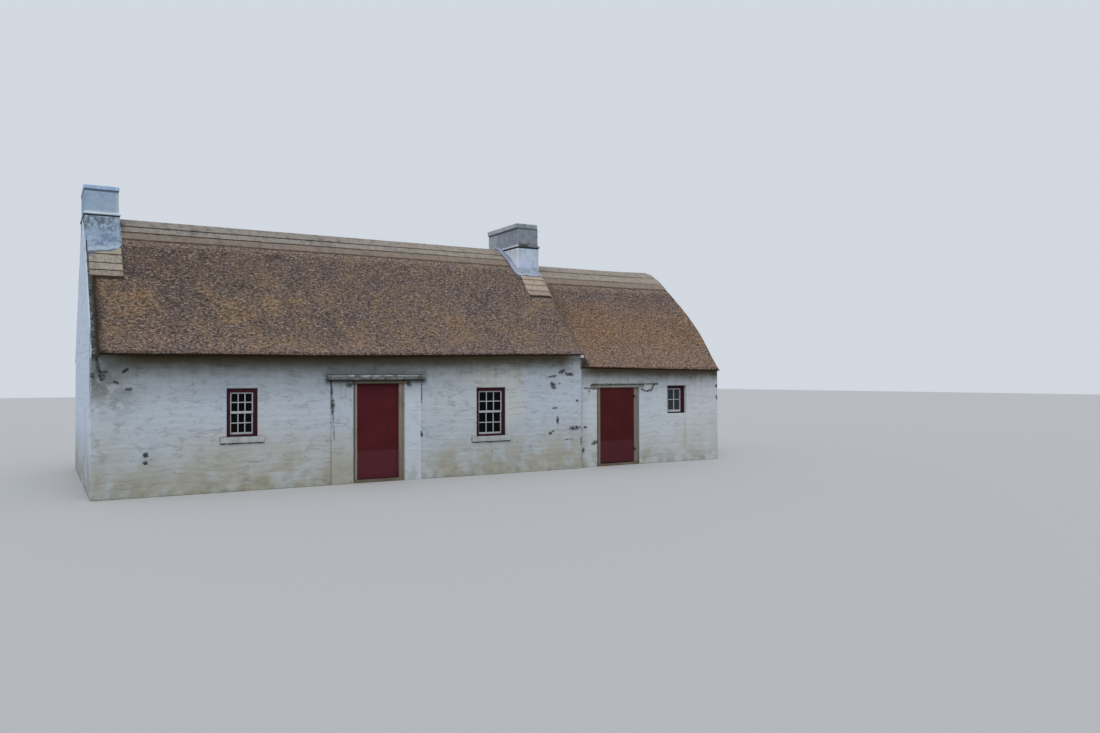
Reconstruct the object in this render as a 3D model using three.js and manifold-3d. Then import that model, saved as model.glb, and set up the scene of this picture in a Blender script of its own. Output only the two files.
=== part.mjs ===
// A long single-storey thatched cottage: a main house between two chimneyed gables, and a lower
// extension on its right-hand end. Limewashed rubble walls, straw thatch, two hinged doors.
//
// Everything is placed in the facade frame: X runs right along the front wall from the left gable,
// Y runs back from the front face, and Z runs up from the sill of the main doorway. The last lines
// move that frame so that the origin is under the middle of the whole cottage, at ground level.

import * as THREE from "three";
import { mergeVertices } from "three/addons/utils/BufferGeometryUtils.js";
import Module from "manifold-3d";

const wasm = await Module();
wasm.setup();

// Driving dimensions, in millimetres.
const gap = 0.3; // left between pieces that touch
const clear = 100; // by which a cutting body passes through what it cuts
const groundZ = -70;
const floorTopZ = -12;
const length = 14138;
const mainLength = 9966;
const depth = 6206;
const wallThick = 600;
const extensionSetback = 81; // of the extension's front and back faces behind the main ones
const ridgeY = depth / 2;

// Each roof: the thatch's lower front edge (nose), its pitch up to the knee, where it starts to
// round over, its ridge, the thickness measured straight down, and the lower edges of the stepped
// straw bands of its ridge, each standing on the one before.
const mainRoof = {
  left: 110,
  right: mainLength + 94,
  noseY: -100,
  noseZ: 2500,
  eaveZ: 2440,
  pitch: 44,
  kneeY: 2000,
  ridgeZ: 5231,
  drop: 400,
  bandEdges: [2300, 2560, 2850],
};
const extensionRoof = {
  left: mainLength + gap,
  right: 14180,
  noseY: 20,
  noseZ: 2240,
  eaveZ: 2190,
  pitch: 45.5,
  kneeY: 1950,
  ridgeZ: 4880,
  drop: 400,
  bandEdges: [2130, 2380, 2700],
};
const roundingSteps = 5;
const lip = { under: 60, back: 8, down: 40 }; // the rounded front edge of the thatch
const bandThick = 25;
const bandLip = 6; // by which a band's lower edge is thicker than the rest

// Chimneys: a lower stack through the thatch, which leans in above battered.z, a drip course, an
// upper stack and a cap. The straw apron below one has bands too, on both slopes.
const leftChimney = {
  name: "left_chimney",
  lower: { x0: 0, x1: 625, y0: 2150, y1: 4236 },
  battered: { z: 4660, y0: 2475, y1: 3900 },
  upper: { x0: 0, x1: 610, y0: 2480, y1: 3715 },
  apron: { x0: 45, x1: 610, front: [1380, 1500, 1670, 1870], back: [1380, 1500, 1670] },
  courseZ: 5262,
  topZ: 5755,
  capTopZ: 5835,
};
const middleChimney = {
  name: "middle_chimney",
  lower: { x0: 9450, x1: mainRoof.right, y0: 2090, y1: 3700 },
  battered: { z: 4660, y0: 2090, y1: 3700 },
  upper: { x0: 9450, x1: 10035, y0: 2095, y1: 3690 },
  apron: { x0: 9450, x1: 10035, front: [1440, 1555, 1715, 1850], back: [1880, 2000, 2160] },
  courseZ: 5283,
  topZ: 5725,
  capTopZ: 5840,
};
const chimneySeatZ = 3900;
const courseHeight = 45;
const courseProud = 20;
const capProud = 12;
const flue = { wide: 230, long: 300, deep: 700 };

// Doors: the opening inside the frame, the frame's outside, and the leaf's clearances.
const mainDoor = {
  frameX0: 4610,
  openX0: 4685,
  openX1: 5565,
  frameX1: 5645,
  headZ: 1905,
  frameTopZ: 1965,
  frameFrontY: 30,
  leafZ0: 0,
};
const extensionDoor = {
  frameX0: 10450,
  openX0: 10553,
  openX1: 11525,
  frameX1: 11650,
  headZ: 1760,
  frameTopZ: 1825,
  frameFrontY: extensionSetback + 20,
  leafZ0: 10,
};
const doorFrameDepth = 100;
const leafThick = 45;
const leafClearance = 5;
const reveal = 10; // between a door frame and the wall beside it, filled with mortar
const hinge = { radius: 11, offset: 12, plateThick: 6, height: 60, strapLength: 520, plateLength: 55 };
const hingeHeights = [300, 1550]; // above the leaf's foot

// The rendered surround of the main door and its projecting lintel slab.
const surround = {
  x0: 4150,
  x1: 6030,
  slabX0: 4080,
  slabX1: 6090,
  slabZ0: 1973,
  slabZ1: 2073,
  panelProud: 20,
  slabProud: 85,
};

// Windows: the frame's outside and how far its face lies behind the wall's. Sash windows have a
// sill that sticks out past the frame on both sides.
const sashKind = { recess: 15, jambs: [66, 74], head: 74, foot: 42, sill: 115 };
const smallKind = { recess: 75, jambs: [81, 103], head: 72, foot: 30 };
const windows = [
  { name: "left_window", x0: 2208, x1: 2762, z0: 937, z1: 1832, faceY: 0, ...sashKind },
  { name: "right_window", x0: 7291, x1: 7991, z0: 759, z1: 1801, faceY: 0, ...sashKind },
  { name: "small_window", x0: 12515, x1: 13115, z0: 1117, z1: 1801, faceY: extensionSetback, ...smallKind },
  { name: "back_window", x0: 7291, x1: 7991, z0: 759, z1: 1801, faceY: depth, ...sashKind },
];
const windowFrameDeep = 90;
const stile = 24;
const meetingRail = 44;
const bottomRail = 38;
const sashThick = 35;
const sashRecess = 20; // of the sash's face behind the frame's face
const glassThick = 4;
const glassRebate = 12; // by which the glass passes behind the sash's bars
const sillProud = 60;
const sillHigh = 107;
const sillDrop = 12; // fall of the sill's top from the frame to its nose

// The wall that carries the middle chimney stands between the two halves.
const crossWall = { x0: 9440, x1: 10160 };
const ridgePole = { radius: 75, sides: 16 };

const colours = {
  limewash: { color: 0xc9ccd0, roughness: 0.95 },
  weatheredLime: { color: 0xa9acae, roughness: 0.95 },
  thatch: { color: 0x6b5845, roughness: 1 },
  straw: { color: 0xa8977a, roughness: 1 },
  stone: { color: 0xb9b5a8, roughness: 0.9 },
  clay: { color: 0x6d5f50, roughness: 1 },
  timber: { color: 0x5d4a35, roughness: 0.9 },
  doorPaint: { color: 0x44181e, roughness: 0.6 },
  frameWood: { color: 0x776a55, roughness: 0.8 },
  redPaint: { color: 0x2e0c12, roughness: 0.6 },
  sashPaint: { color: 0xd6d8d6, roughness: 0.6 },
  glass: { color: 0x0c0f12, roughness: 0.1 },
};

const cottage = new THREE.Group();

// A named mesh in a group. Its geometry is already where it belongs in the facade frame.
function addPiece(group, name, geometry, look) {
  const material = new THREE.MeshStandardMaterial({ metalness: 0, ...colours[look] });
  const mesh = new THREE.Mesh(geometry, material);
  mesh.name = name;
  group.add(mesh);
}

// A box between two values on each axis.
function box(x0, x1, y0, y1, z0, z1) {
  const geometry = new THREE.BoxGeometry(x1 - x0, y1 - y0, z1 - z0);
  return geometry.translate((x0 + x1) / 2, (y0 + y1) / 2, (z0 + z1) / 2);
}

// An outline of [y, z] points, run along X from x0 to x1.
function alongX(outline, x0, x1) {
  const shape = new THREE.Shape(outline.map(([y, z]) => new THREE.Vector2(y, z)));
  const geometry = new THREE.ExtrudeGeometry(shape, { depth: x1 - x0, bevelEnabled: false });
  const turn = new THREE.Matrix4().makeBasis(
    new THREE.Vector3(0, 1, 0),
    new THREE.Vector3(0, 0, 1),
    new THREE.Vector3(1, 0, 0),
  );
  return geometry.applyMatrix4(turn).translate(x0, 0, 0);
}

// An upright or lying cylinder: axis is "z" or "x".
function rod(radius, from, to, [a, b], axis, sides) {
  const geometry = new THREE.CylinderGeometry(radius, radius, to - from, sides);
  if (axis === "z") {
    return geometry.rotateX(Math.PI / 2).translate(a, b, (from + to) / 2);
  }
  return geometry.rotateZ(Math.PI / 2).translate((from + to) / 2, a, b);
}

// Turns a geometry into a solid that can be joined or cut.
function toSolid(geometry) {
  const bare = geometry.clone();
  bare.deleteAttribute("normal");
  bare.deleteAttribute("uv");
  const merged = mergeVertices(bare, 1e-3);
  const triVerts = new Uint32Array(merged.index.array);
  const vertProperties = merged.attributes.position.array;
  return new wasm.Manifold(new wasm.Mesh({ numProp: 3, vertProperties, triVerts }));
}

// Turns a solid back into a geometry.
function toGeometry(solid) {
  const mesh = solid.getMesh();
  const geometry = new THREE.BufferGeometry();
  geometry.setAttribute("position", new THREE.BufferAttribute(mesh.vertProperties, 3));
  geometry.setIndex(new THREE.BufferAttribute(mesh.triVerts, 1));
  geometry.computeVertexNormals();
  return geometry;
}

function join(...geometries) {
  return toGeometry(geometries.map(toSolid).reduce((sum, next) => sum.add(next)));
}

function cut(geometry, ...tools) {
  return toGeometry(tools.map(toSolid).reduce((rest, tool) => rest.subtract(tool), toSolid(geometry)));
}

const radians = (degrees) => (degrees * Math.PI) / 180;

// The front slope of a roof's upper face, from the nose to the ridge, as [y, z] points: straight
// up to the knee, then an arc that leaves the slope smoothly and ends at the ridge.
function slopePoints(roof) {
  const pitch = radians(roof.pitch);
  const kneeZ = roof.noseZ + (roof.kneeY - roof.noseY) * Math.tan(pitch);
  const run = ridgeY - roof.kneeY;
  const rise = roof.ridgeZ - kneeZ;
  const chordAngle = Math.atan2(rise, run);
  const endPitch = 2 * chordAngle - pitch;
  const radius = Math.hypot(run, rise) / (2 * Math.sin((pitch - endPitch) / 2));
  const points = [[roof.noseY, roof.noseZ]];
  for (let step = 0; step <= roundingSteps; step += 1) {
    const angle = pitch + ((endPitch - pitch) * step) / roundingSteps;
    const y = roof.kneeY + radius * (Math.sin(pitch) - Math.sin(angle));
    const z = kneeZ + radius * (Math.cos(angle) - Math.cos(pitch));
    points.push([y, z]);
  }
  return points;
}

// The height of a roof's upper face at a distance y from the front, on either slope.
function roofHeight(roof, y) {
  const front = y > ridgeY ? 2 * ridgeY - y : y;
  const points = slopePoints(roof);
  const after = Math.max(1, points.findIndex((point) => point[0] >= front - 1e-6));
  const [y0, z0] = points[after - 1];
  const [y1, z1] = points[after];
  return z0 + ((z1 - z0) * (front - y0)) / (y1 - y0);
}

// Where the sloping underside of the thatch meets the flat underside over the wall head.
function undersideStart(roof) {
  return roof.noseY + (roof.eaveZ + roof.drop - roof.noseZ) / Math.tan(radians(roof.pitch));
}

const mirrored = (points) => points.map(([y, z]) => [2 * ridgeY - y, z]).reverse();

// The line on which the thatch lies, from the front eave over the ridge to the back eave.
function seatLine(roof, lowerBy) {
  const start = undersideStart(roof);
  const slope = slopePoints(roof).slice(1);
  const inner = slope.map(([y, z]) => [y, z - roof.drop - lowerBy]);
  const front = [[start, roof.eaveZ - lowerBy], ...inner];
  return [...front, ...mirrored(front).slice(1)];
}

// One half of the thatch: its cross-section at each station along X, joined into a closed skin.
// A station lifts the upper face by its lift function, or lowers it to round over an end: the
// nose then moves level, so that the face keeps its pitch.
function thatchSlope(roof, stations) {
  const [, ...upper] = slopePoints(roof);
  const lower = upper.map(([y, z]) => [y, z - roof.drop]);
  const start = [undersideStart(roof), roof.eaveZ];
  const sections = stations.map(({ x, lift }) => {
    const noseY = roof.noseY - lift(roof.noseY) / Math.tan(radians(roof.pitch));
    const undercut = [noseY + lip.under, roof.eaveZ];
    const edge = [noseY + lip.back, roof.noseZ - lip.down];
    const raised = upper.map(([y, z]) => [Math.min(y, ridgeY - gap / 2), z + lift(y)]);
    const top = [[noseY, roof.noseZ], ...raised];
    const under = [start, ...lower].map(([y, z]) => [Math.min(y, ridgeY - gap / 2), z]);
    return [...under.reverse(), undercut, edge, ...top].map(([y, z]) => [x, y, z]).reverse();
  });
  return skin(sections);
}

// Joins like outlines, listed along X and running anticlockwise seen from +X, into a closed body.
function skin(sections) {
  const count = sections[0].length;
  const positions = sections.flat(2);
  const index = [];
  for (let s = 0; s + 1 < sections.length; s += 1) {
    for (let i = 0; i < count; i += 1) {
      const a = s * count + i;
      const b = s * count + ((i + 1) % count);
      index.push(a, b + count, a + count, a, b, b + count);
    }
  }
  const flat = sections[0].map(([, y, z]) => new THREE.Vector2(y, z));
  const caps = THREE.ShapeUtils.triangulateShape(flat, []);
  const last = (sections.length - 1) * count;
  for (const [a, b, c] of caps) {
    index.push(a, c, b, a + last, b + last, c + last);
  }
  const geometry = new THREE.BufferGeometry();
  geometry.setAttribute("position", new THREE.Float32BufferAttribute(positions, 3));
  geometry.setIndex(index);
  return geometry;
}

// A geometry turned half round about the ridge, for what repeats on the back slope.
function onBack(geometry) {
  const copy = geometry.clone();
  copy.scale(1, -1, 1).translate(0, 2 * ridgeY, 0);
  const index = copy.index ? copy.index.array : null;
  if (index) {
    for (let i = 0; i < index.length; i += 3) {
      [index[i + 1], index[i + 2]] = [index[i + 2], index[i + 1]];
    }
    return copy;
  }
  const place = copy.attributes.position;
  for (let i = 0; i < place.count; i += 3) {
    for (const axis of ["X", "Y", "Z"]) {
      const second = place[`get${axis}`](i + 1);
      place[`set${axis}`](i + 1, place[`get${axis}`](i + 2));
      place[`set${axis}`](i + 2, second);
    }
  }
  return copy;
}

// The space that a chimney takes up, a little larger than its lower stack. On the left gable it
// runs out past the wall's face.
function chimneySpace(chimney) {
  const { x0, x1, y0, y1 } = chimney.lower;
  const fromX = x0 === 0 ? -clear : x0 - gap;
  return box(fromX, x1 + gap, y0 - gap, y1 + gap, chimneySeatZ - gap, chimney.capTopZ + clear);
}

// A chimney's drip course, made larger all round by an amount.
function course({ lower, battered, courseZ }, larger = 0) {
  const out = courseProud + larger;
  return box(
    lower.x0 - out,
    lower.x1 + out,
    battered.y0 - out,
    battered.y1 + out,
    courseZ - courseHeight - larger,
    courseZ + larger,
  );
}

// Chimneys

function buildChimney(group, chimney) {
  const { lower, battered, upper, courseZ, topZ, capTopZ } = chimney;
  const { x0, x1, y0, y1 } = upper;
  const middle = [(x0 + x1) / 2, (y0 + y1) / 2];
  const block = (out, z0, z1) => box(x0 - out, x1 + out, y0 - out, y1 + out, z0, z1);
  const flueBox = (z0, z1) =>
    box(
      middle[0] - flue.wide / 2,
      middle[0] + flue.wide / 2,
      middle[1] - flue.long / 2,
      middle[1] + flue.long / 2,
      z0,
      z1,
    );
  const lowerTopZ = courseZ - courseHeight / 2;
  const lowerOutline = [
    [lower.y0, chimneySeatZ],
    [lower.y1, chimneySeatZ],
    [lower.y1, battered.z],
    [battered.y1, lowerTopZ],
    [battered.y0, lowerTopZ],
    [lower.y0, battered.z],
  ];
  const shaft = join(
    alongX(lowerOutline, lower.x0, lower.x1),
    course(chimney),
    block(0, courseZ - 1, topZ),
  );
  const stack = cut(shaft, flueBox(topZ - flue.deep, topZ + clear));
  const slab = block(capProud, topZ + gap, capTopZ);
  const cap = cut(slab, flueBox(topZ - clear, capTopZ + clear));
  addPiece(group, `${chimney.name}_stack`, stack, "limewash");
  addPiece(group, `${chimney.name}_cap`, cap, "weatheredLime");
}

// Walls

const leftSpace = chimneySpace(leftChimney);
const middleSpace = chimneySpace(middleChimney);
const courseSpaces = [course(leftChimney, gap), course(middleChimney, gap)];

// A long wall, thickened inwards from its outer face, its head following the thatch's underside.
function longWallOutline(roof, faceY) {
  const insideY = faceY + wallThick;
  const slopeZ = roof.noseZ + (insideY - roof.noseY) * Math.tan(radians(roof.pitch)) - roof.drop;
  return [
    [faceY, groundZ],
    [insideY, groundZ],
    [insideY, slopeZ - gap],
    [undersideStart(roof), roof.eaveZ - gap],
    [faceY, roof.eaveZ - gap],
  ];
}

// A gable outline from the front face to the back face, up to the thatch's underside.
function gableOutline(roof, faceY) {
  return [
    [faceY, groundZ],
    [2 * ridgeY - faceY, groundZ],
    [2 * ridgeY - faceY, roof.eaveZ - gap],
    ...seatLine(roof, gap).reverse(),
    [faceY, roof.eaveZ - gap],
  ];
}

// The same outline cut off level with the inside faces of the long walls.
function crossOutline(roof, faceY) {
  const inside = faceY + wallThick + gap;
  const far = 2 * ridgeY - inside;
  const line = seatLine(roof, gap).filter(([y]) => y > inside && y < far);
  const edgeZ = roofHeight(roof, inside) - roof.drop - gap;
  return [[inside, groundZ], [far, groundZ], [far, edgeZ], ...line.reverse(), [inside, edgeZ]];
}

// The hole for a window and the pocket for its sill, as cutting bodies.
function windowHoles(spec) {
  const backFacing = spec.faceY > ridgeY;
  const outerY = spec.faceY + outward(spec) * clear;
  const innerY = spec.faceY - outward(spec) * (wallThick + clear);
  const [low, high] = backFacing ? [innerY, outerY] : [outerY, innerY];
  const holes = [box(spec.x0 - gap, spec.x1 + gap, low, high, spec.z0 - gap, spec.z1 + gap)];
  if (spec.sill) {
    const seat = sillSeatY(spec);
    const [y0, y1] = backFacing ? [seat - gap, outerY] : [outerY, seat + gap];
    const side = spec.sill + gap;
    holes.push(box(spec.x0 - side, spec.x1 + side, y0, y1, sillBottomZ(spec) - gap, spec.z0));
  }
  return holes;
}

const outward = (spec) => (spec.faceY > ridgeY ? 1 : -1);
const sillSeatY = (spec) => spec.faceY - outward(spec) * (spec.recess + windowFrameDeep);
const sillBottomZ = (spec) => spec.z0 - sillHigh;

const spec = Object.fromEntries(windows.map((one) => [one.name, one]));
const walls = new THREE.Group();
const mainFront = longWallOutline(mainRoof, 0);
const extensionFront = longWallOutline(extensionRoof, extensionSetback);
const doorEdges = (door) => [door.frameX0 - reveal, door.frameX1 + reveal];
const [mainDoorX0, mainDoorX1] = doorEdges(mainDoor);
const [extensionDoorX0, extensionDoorX1] = doorEdges(extensionDoor);
const gableInsideX = length - wallThick;

addPiece(
  walls,
  "front_wall_left",
  cut(alongX(mainFront, wallThick + gap, mainDoorX0), ...windowHoles(spec.left_window)),
  "limewash",
);
addPiece(
  walls,
  "front_wall_right",
  cut(alongX(mainFront, mainDoorX1, mainLength), ...windowHoles(spec.right_window)),
  "limewash",
);
const upTo = (z) => box(0, length, -clear, ridgeY, groundZ - clear, z);
const overMainDoor = cut(
  alongX(mainFront, mainDoorX0 + gap, mainDoorX1 - gap),
  upTo(mainDoor.frameTopZ + gap),
);
addPiece(walls, "front_wall_over_door", overMainDoor, "limewash");

const mainBack = onBack(alongX(mainFront, wallThick + gap, mainLength));
addPiece(walls, "back_wall", cut(mainBack, ...windowHoles(spec.back_window)), "limewash");

addPiece(
  walls,
  "extension_front_wall_left",
  alongX(extensionFront, mainLength + gap, extensionDoorX0),
  "limewash",
);
addPiece(
  walls,
  "extension_front_wall_right",
  cut(alongX(extensionFront, extensionDoorX1, gableInsideX - gap), ...windowHoles(spec.small_window)),
  "limewash",
);
const overExtensionDoor = cut(
  alongX(extensionFront, extensionDoorX0 + gap, extensionDoorX1 - gap),
  upTo(extensionDoor.frameTopZ + gap),
);
addPiece(walls, "extension_front_wall_over_door", overExtensionDoor, "limewash");
const extensionBack = onBack(alongX(extensionFront, mainLength + gap, gableInsideX - gap));
addPiece(walls, "extension_back_wall", extensionBack, "limewash");

// The left gable carries a raised skew along the thatch's edge; the chimney stands in both.
const skewFront = slopePoints(mainRoof);
const skewFootZ = mainRoof.eaveZ - 100; // a little way down inside the wall, which it grows from
const skewOutline = [
  [0, skewFootZ],
  [depth, skewFootZ],
  [depth, mainRoof.eaveZ],
  [depth - mainRoof.noseY, mainRoof.noseZ - lip.down],
  ...mirrored(skewFront).reverse(),
  ...[...skewFront].reverse().slice(1),
  [mainRoof.noseY, mainRoof.noseZ - lip.down],
  [0, mainRoof.eaveZ],
];
const leftGable = cut(
  join(alongX(gableOutline(mainRoof, 0), 0, wallThick), alongX(skewOutline, 0, mainRoof.left - gap)),
  leftSpace,
);
addPiece(walls, "left_gable_wall", leftGable, "limewash");
const rightGable = alongX(gableOutline(extensionRoof, extensionSetback), gableInsideX, length);
addPiece(walls, "right_gable_wall", rightGable, "limewash");

const crossGable = cut(
  join(
    alongX(crossOutline(mainRoof, 0), crossWall.x0, mainLength),
    alongX(crossOutline(extensionRoof, extensionSetback), mainLength - 1, crossWall.x1),
  ),
  middleSpace,
);
addPiece(walls, "cross_gable_wall", crossGable, "limewash");

// Floors, each with its threshold running through the doorway.

const mainFloor = join(
  box(
    wallThick + gap,
    crossWall.x0 - gap,
    wallThick + gap,
    2 * ridgeY - wallThick - gap,
    groundZ,
    floorTopZ,
  ),
  box(mainDoorX0 + gap, mainDoorX1 - gap, 0, wallThick + 1, groundZ, floorTopZ),
);
addPiece(walls, "main_floor", mainFloor, "clay");
const extensionInsideY = extensionSetback + wallThick;
const extensionFloor = join(
  box(
    crossWall.x1 + gap,
    gableInsideX - gap,
    extensionInsideY + gap,
    2 * ridgeY - extensionInsideY - gap,
    groundZ,
    floorTopZ,
  ),
  box(
    extensionDoorX0 + gap,
    extensionDoorX1 - gap,
    extensionSetback,
    extensionInsideY + 1,
    groundZ,
    floorTopZ,
  ),
);
addPiece(walls, "extension_floor", extensionFloor, "clay");

// Roof

const roof = new THREE.Group();
const level = () => 0;
const rolled = (amount) => () => -amount;

// The main thatch runs a little past the end of its wall, over the extension's thatch, which
// climbs towards it. Both roll over at their ends.
const mainThatch = thatchSlope(mainRoof, [
  { x: mainRoof.left, lift: rolled(15) },
  { x: mainRoof.left + 90, lift: level },
  { x: mainRoof.right - 100, lift: level },
  { x: mainRoof.right - 40, lift: rolled(20) },
  { x: mainRoof.right, lift: rolled(80) },
]);
// How far the extension's thatch climbs towards the main thatch, as a share of the way, by place.
const climbs = [
  { x: extensionRoof.left, share: 0.32 },
  { x: mainRoof.right, share: 0.32 },
  { x: mainRoof.right + 90, share: 0.12 },
  { x: mainRoof.right + 200, share: 0 },
];
const climb = (share) => (y) => {
  const above = roofHeight(mainRoof, Math.max(y, mainRoof.noseY)) - roofHeight(extensionRoof, y);
  return above * share;
};
const extensionThatch = thatchSlope(extensionRoof, [
  ...climbs.map(({ x, share }) => ({ x, lift: climb(share) })),
  { x: extensionRoof.right - 60, lift: level },
  { x: extensionRoof.right, lift: rolled(35) },
]);

// The main thatch is cut to lie on the extension's: one copy of it raised and one moved left
// leave a gap on both faces that meet.
const beneath = [
  extensionThatch.clone().translate(0, 0, gap),
  extensionThatch.clone().translate(-gap / 2, 0, 0),
];
const allSpaces = [leftSpace, middleSpace, ...courseSpaces];
const thatch = {
  main_thatch_front: cut(mainThatch, ...beneath, ...allSpaces),
  main_thatch_back: cut(onBack(mainThatch), ...beneath.map(onBack), ...allSpaces),
  extension_thatch_front: cut(extensionThatch, middleSpace),
  extension_thatch_back: cut(onBack(extensionThatch), middleSpace),
};
for (const [name, geometry] of Object.entries(thatch)) {
  addPiece(roof, name, geometry, "thatch");
}

// A stepped straw covering on a roof's upper face, from the first of its bands' lower edges up to
// a distance from the front, raised by a lift function. Its bands run along X, each standing above
// the next one down the slope, and its underside is a little way into the thatch until it is cut
// to lie on it.
function bandedCover(roofSpec, edges, toY, lift = level) {
  const fromY = edges[0];
  const inner = slopePoints(roofSpec)
    .map(([y]) => y)
    .filter((y) => y > fromY && y < toY);
  const at = (y, up) => [y, roofHeight(roofSpec, y) + lift(y) + up];
  const outline = [fromY, ...inner, toY].map((y) => at(y, -bandThick));
  const limits = [...edges, toY];
  for (let band = edges.length; band >= 1; band -= 1) {
    const thick = band * bandThick;
    outline.push(at(limits[band], thick), at(limits[band - 1], thick + bandLip));
  }
  return outline;
}

// A ridge's covering through stations along X, cut to lie on the thatch below it.
function ridgeCap(roofSpec, stations, thatchBody) {
  const sections = stations.map(({ x, lift }) =>
    bandedCover(roofSpec, roofSpec.bandEdges, ridgeY, lift).map(([y, z]) => [x, y, z]),
  );
  const front = cut(skin(sections), thatchBody.clone().translate(0, 0, gap));
  return join(front, onBack(front));
}

const mainCapStations = [leftChimney.lower.x1 + gap, middleChimney.lower.x0 - gap].map((x) => ({
  x,
  lift: level,
}));
const mainCap = ridgeCap(mainRoof, mainCapStations, mainThatch);
addPiece(roof, "main_ridge_cap", cut(mainCap, ...courseSpaces), "straw");
const besideChimney = middleChimney.lower.x1 + courseProud + 2 * gap;
const [, climbTop, climbMiddle, climbFoot] = climbs;
const passed = (besideChimney - climbTop.x) / (climbMiddle.x - climbTop.x);
const shareBeside = climbTop.share + passed * (climbMiddle.share - climbTop.share);
const extensionCapStations = [
  { x: besideChimney, lift: climb(shareBeside) },
  { x: climbMiddle.x, lift: climb(climbMiddle.share) },
  { x: climbFoot.x, lift: level },
  { x: extensionRoof.right - 60, lift: level },
];
addPiece(
  roof,
  "extension_ridge_cap",
  ridgeCap(extensionRoof, extensionCapStations, extensionThatch),
  "straw",
);

// Straw aprons below each chimney, on both slopes. The left ones lie on the skew as well.
const skewSpace = [alongX(skewOutline, -100, mainRoof.left).translate(0, 0, gap)];
for (const { name, lower, apron } of [leftChimney, middleChimney]) {
  const apronBelow = (edges, stackY) => {
    const cover = alongX(bandedCover(mainRoof, edges, stackY - 2 * gap), apron.x0, apron.x1);
    return cut(cover, mainThatch.clone().translate(0, 0, gap), ...skewSpace);
  };
  addPiece(roof, `${name}_front_apron`, apronBelow(apron.front, lower.y0), "straw");
  addPiece(roof, `${name}_back_apron`, onBack(apronBelow(apron.back, depth - lower.y1)), "straw");
}

// Ridge poles, which carry the two slopes between the gables.
const poles = [
  { name: "main_ridge_pole", roof: mainRoof, from: leftChimney.lower.x1 + gap, to: crossWall.x0 - gap },
  { name: "extension_ridge_pole", roof: extensionRoof, from: crossWall.x1 + gap, to: gableInsideX - gap },
];
for (const pole of poles) {
  const [[y0, z0], [y1, z1]] = slopePoints(pole.roof).slice(-2);
  const lastPitch = Math.atan2(z1 - z0, y1 - y0);
  const z = pole.roof.ridgeZ - pole.roof.drop - gap - ridgePole.radius / Math.cos(lastPitch);
  const log = rod(ridgePole.radius, pole.from, pole.to, [ridgeY, z], "x", ridgePole.sides);
  addPiece(roof, pole.name, log, "timber");
}

const chimneys = new THREE.Group();
buildChimney(chimneys, leftChimney);
buildChimney(chimneys, middleChimney);

// Doors. A door is built as if it opened inwards on its left-hand side, round a hinge line in its
// inner face; the extension's door is the same thing turned half round, so it opens outwards.

function doorFrame(door) {
  const backY = door.frameFrontY + doorFrameDepth;
  const foot = floorTopZ + gap;
  return join(
    box(door.frameX0, door.openX0, door.frameFrontY, backY, foot, door.frameTopZ),
    box(door.openX1, door.frameX1, door.frameFrontY, backY, foot, door.frameTopZ),
    box(door.frameX0, door.frameX1, door.frameFrontY, backY, door.headZ, door.frameTopZ),
  );
}

// Where a door's hinge line is, and which way its leaf runs from it: 1 for +X, -1 for -X.
function hingeLine(door, turned) {
  return turned
    ? { x: door.openX1 - leafClearance / 2, y: door.frameFrontY - hinge.offset, way: -1 }
    : { x: door.openX0 + leafClearance / 2, y: door.frameFrontY + doorFrameDepth + hinge.offset, way: 1 };
}

// A hinge at one height: the lower knuckle and its plate on the frame, or the upper knuckle and
// the long strap on the leaf.
function hingeHalf(line, z, onLeaf) {
  const half = hinge.height / 2;
  const z0 = onLeaf ? z + gap / 2 : z - half;
  const z1 = onLeaf ? z + half : z - gap / 2;
  const faceY = line.y - line.way * hinge.offset;
  const outY = line.y - line.way * (hinge.offset - hinge.plateThick);
  const intoWood = faceY - line.way;
  const reach = onLeaf ? line.way * hinge.strapLength : -line.way * hinge.plateLength;
  const ordered = (a, b) => [Math.min(a, b), Math.max(a, b)];
  const [x0, x1] = ordered(line.x, line.x + reach);
  const [y0, y1] = ordered(intoWood, outY);
  const knuckle = rod(hinge.radius, z0, z1, [line.x, line.y], "z", 16);
  return join(box(x0, x1, y0, y1, z0, z1), knuckle);
}

function buildDoor(group, name, door, turned) {
  const line = hingeLine(door, turned);
  const leafX0 = door.openX0 + leafClearance;
  const leafX1 = door.openX1 - leafClearance;
  const leafY0 = turned ? door.frameFrontY : door.frameFrontY + doorFrameDepth - leafThick;
  const leafBoards = box(
    leafX0,
    leafX1,
    leafY0,
    leafY0 + leafThick,
    door.leafZ0,
    door.headZ - leafClearance,
  );
  const heights = hingeHeights.map((height) => door.leafZ0 + height);
  const frame = join(doorFrame(door), ...heights.map((z) => hingeHalf(line, z, false)));
  const leaf = join(leafBoards, ...heights.map((z) => hingeHalf(line, z, true)));
  addPiece(group, `${name}_frame`, frame, "frameWood");
  addPiece(group, `${name}_leaf`, leaf, "doorPaint");
}

const openings = new THREE.Group();
buildDoor(openings, "main_door", mainDoor, false);
buildDoor(openings, "extension_door", extensionDoor, true);

const panelY = -surround.panelProud;
const doorSurround = join(
  box(surround.x0, mainDoorX0, panelY, -gap, groundZ, surround.slabZ0 + 1),
  box(mainDoorX1, surround.x1, panelY, -gap, groundZ, surround.slabZ0 + 1),
  box(surround.slabX0, surround.slabX1, -surround.slabProud, -gap, surround.slabZ0, surround.slabZ1),
);
addPiece(openings, "main_door_surround", doorSurround, "limewash");

// Windows: a red frame, white sashes, one sheet of glass behind them and a stone sill.

// A ring of four bars between two depths, open inside.
function ring({ x0, x1, z0, z1 }, [y0, y1], [left, right], head, foot) {
  const outside = box(x0, x1, y0, y1, z0, z1);
  return cut(outside, box(x0 + left, x1 - right, y0 - clear, y1 + clear, z0 + foot, z1 - head));
}

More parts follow.
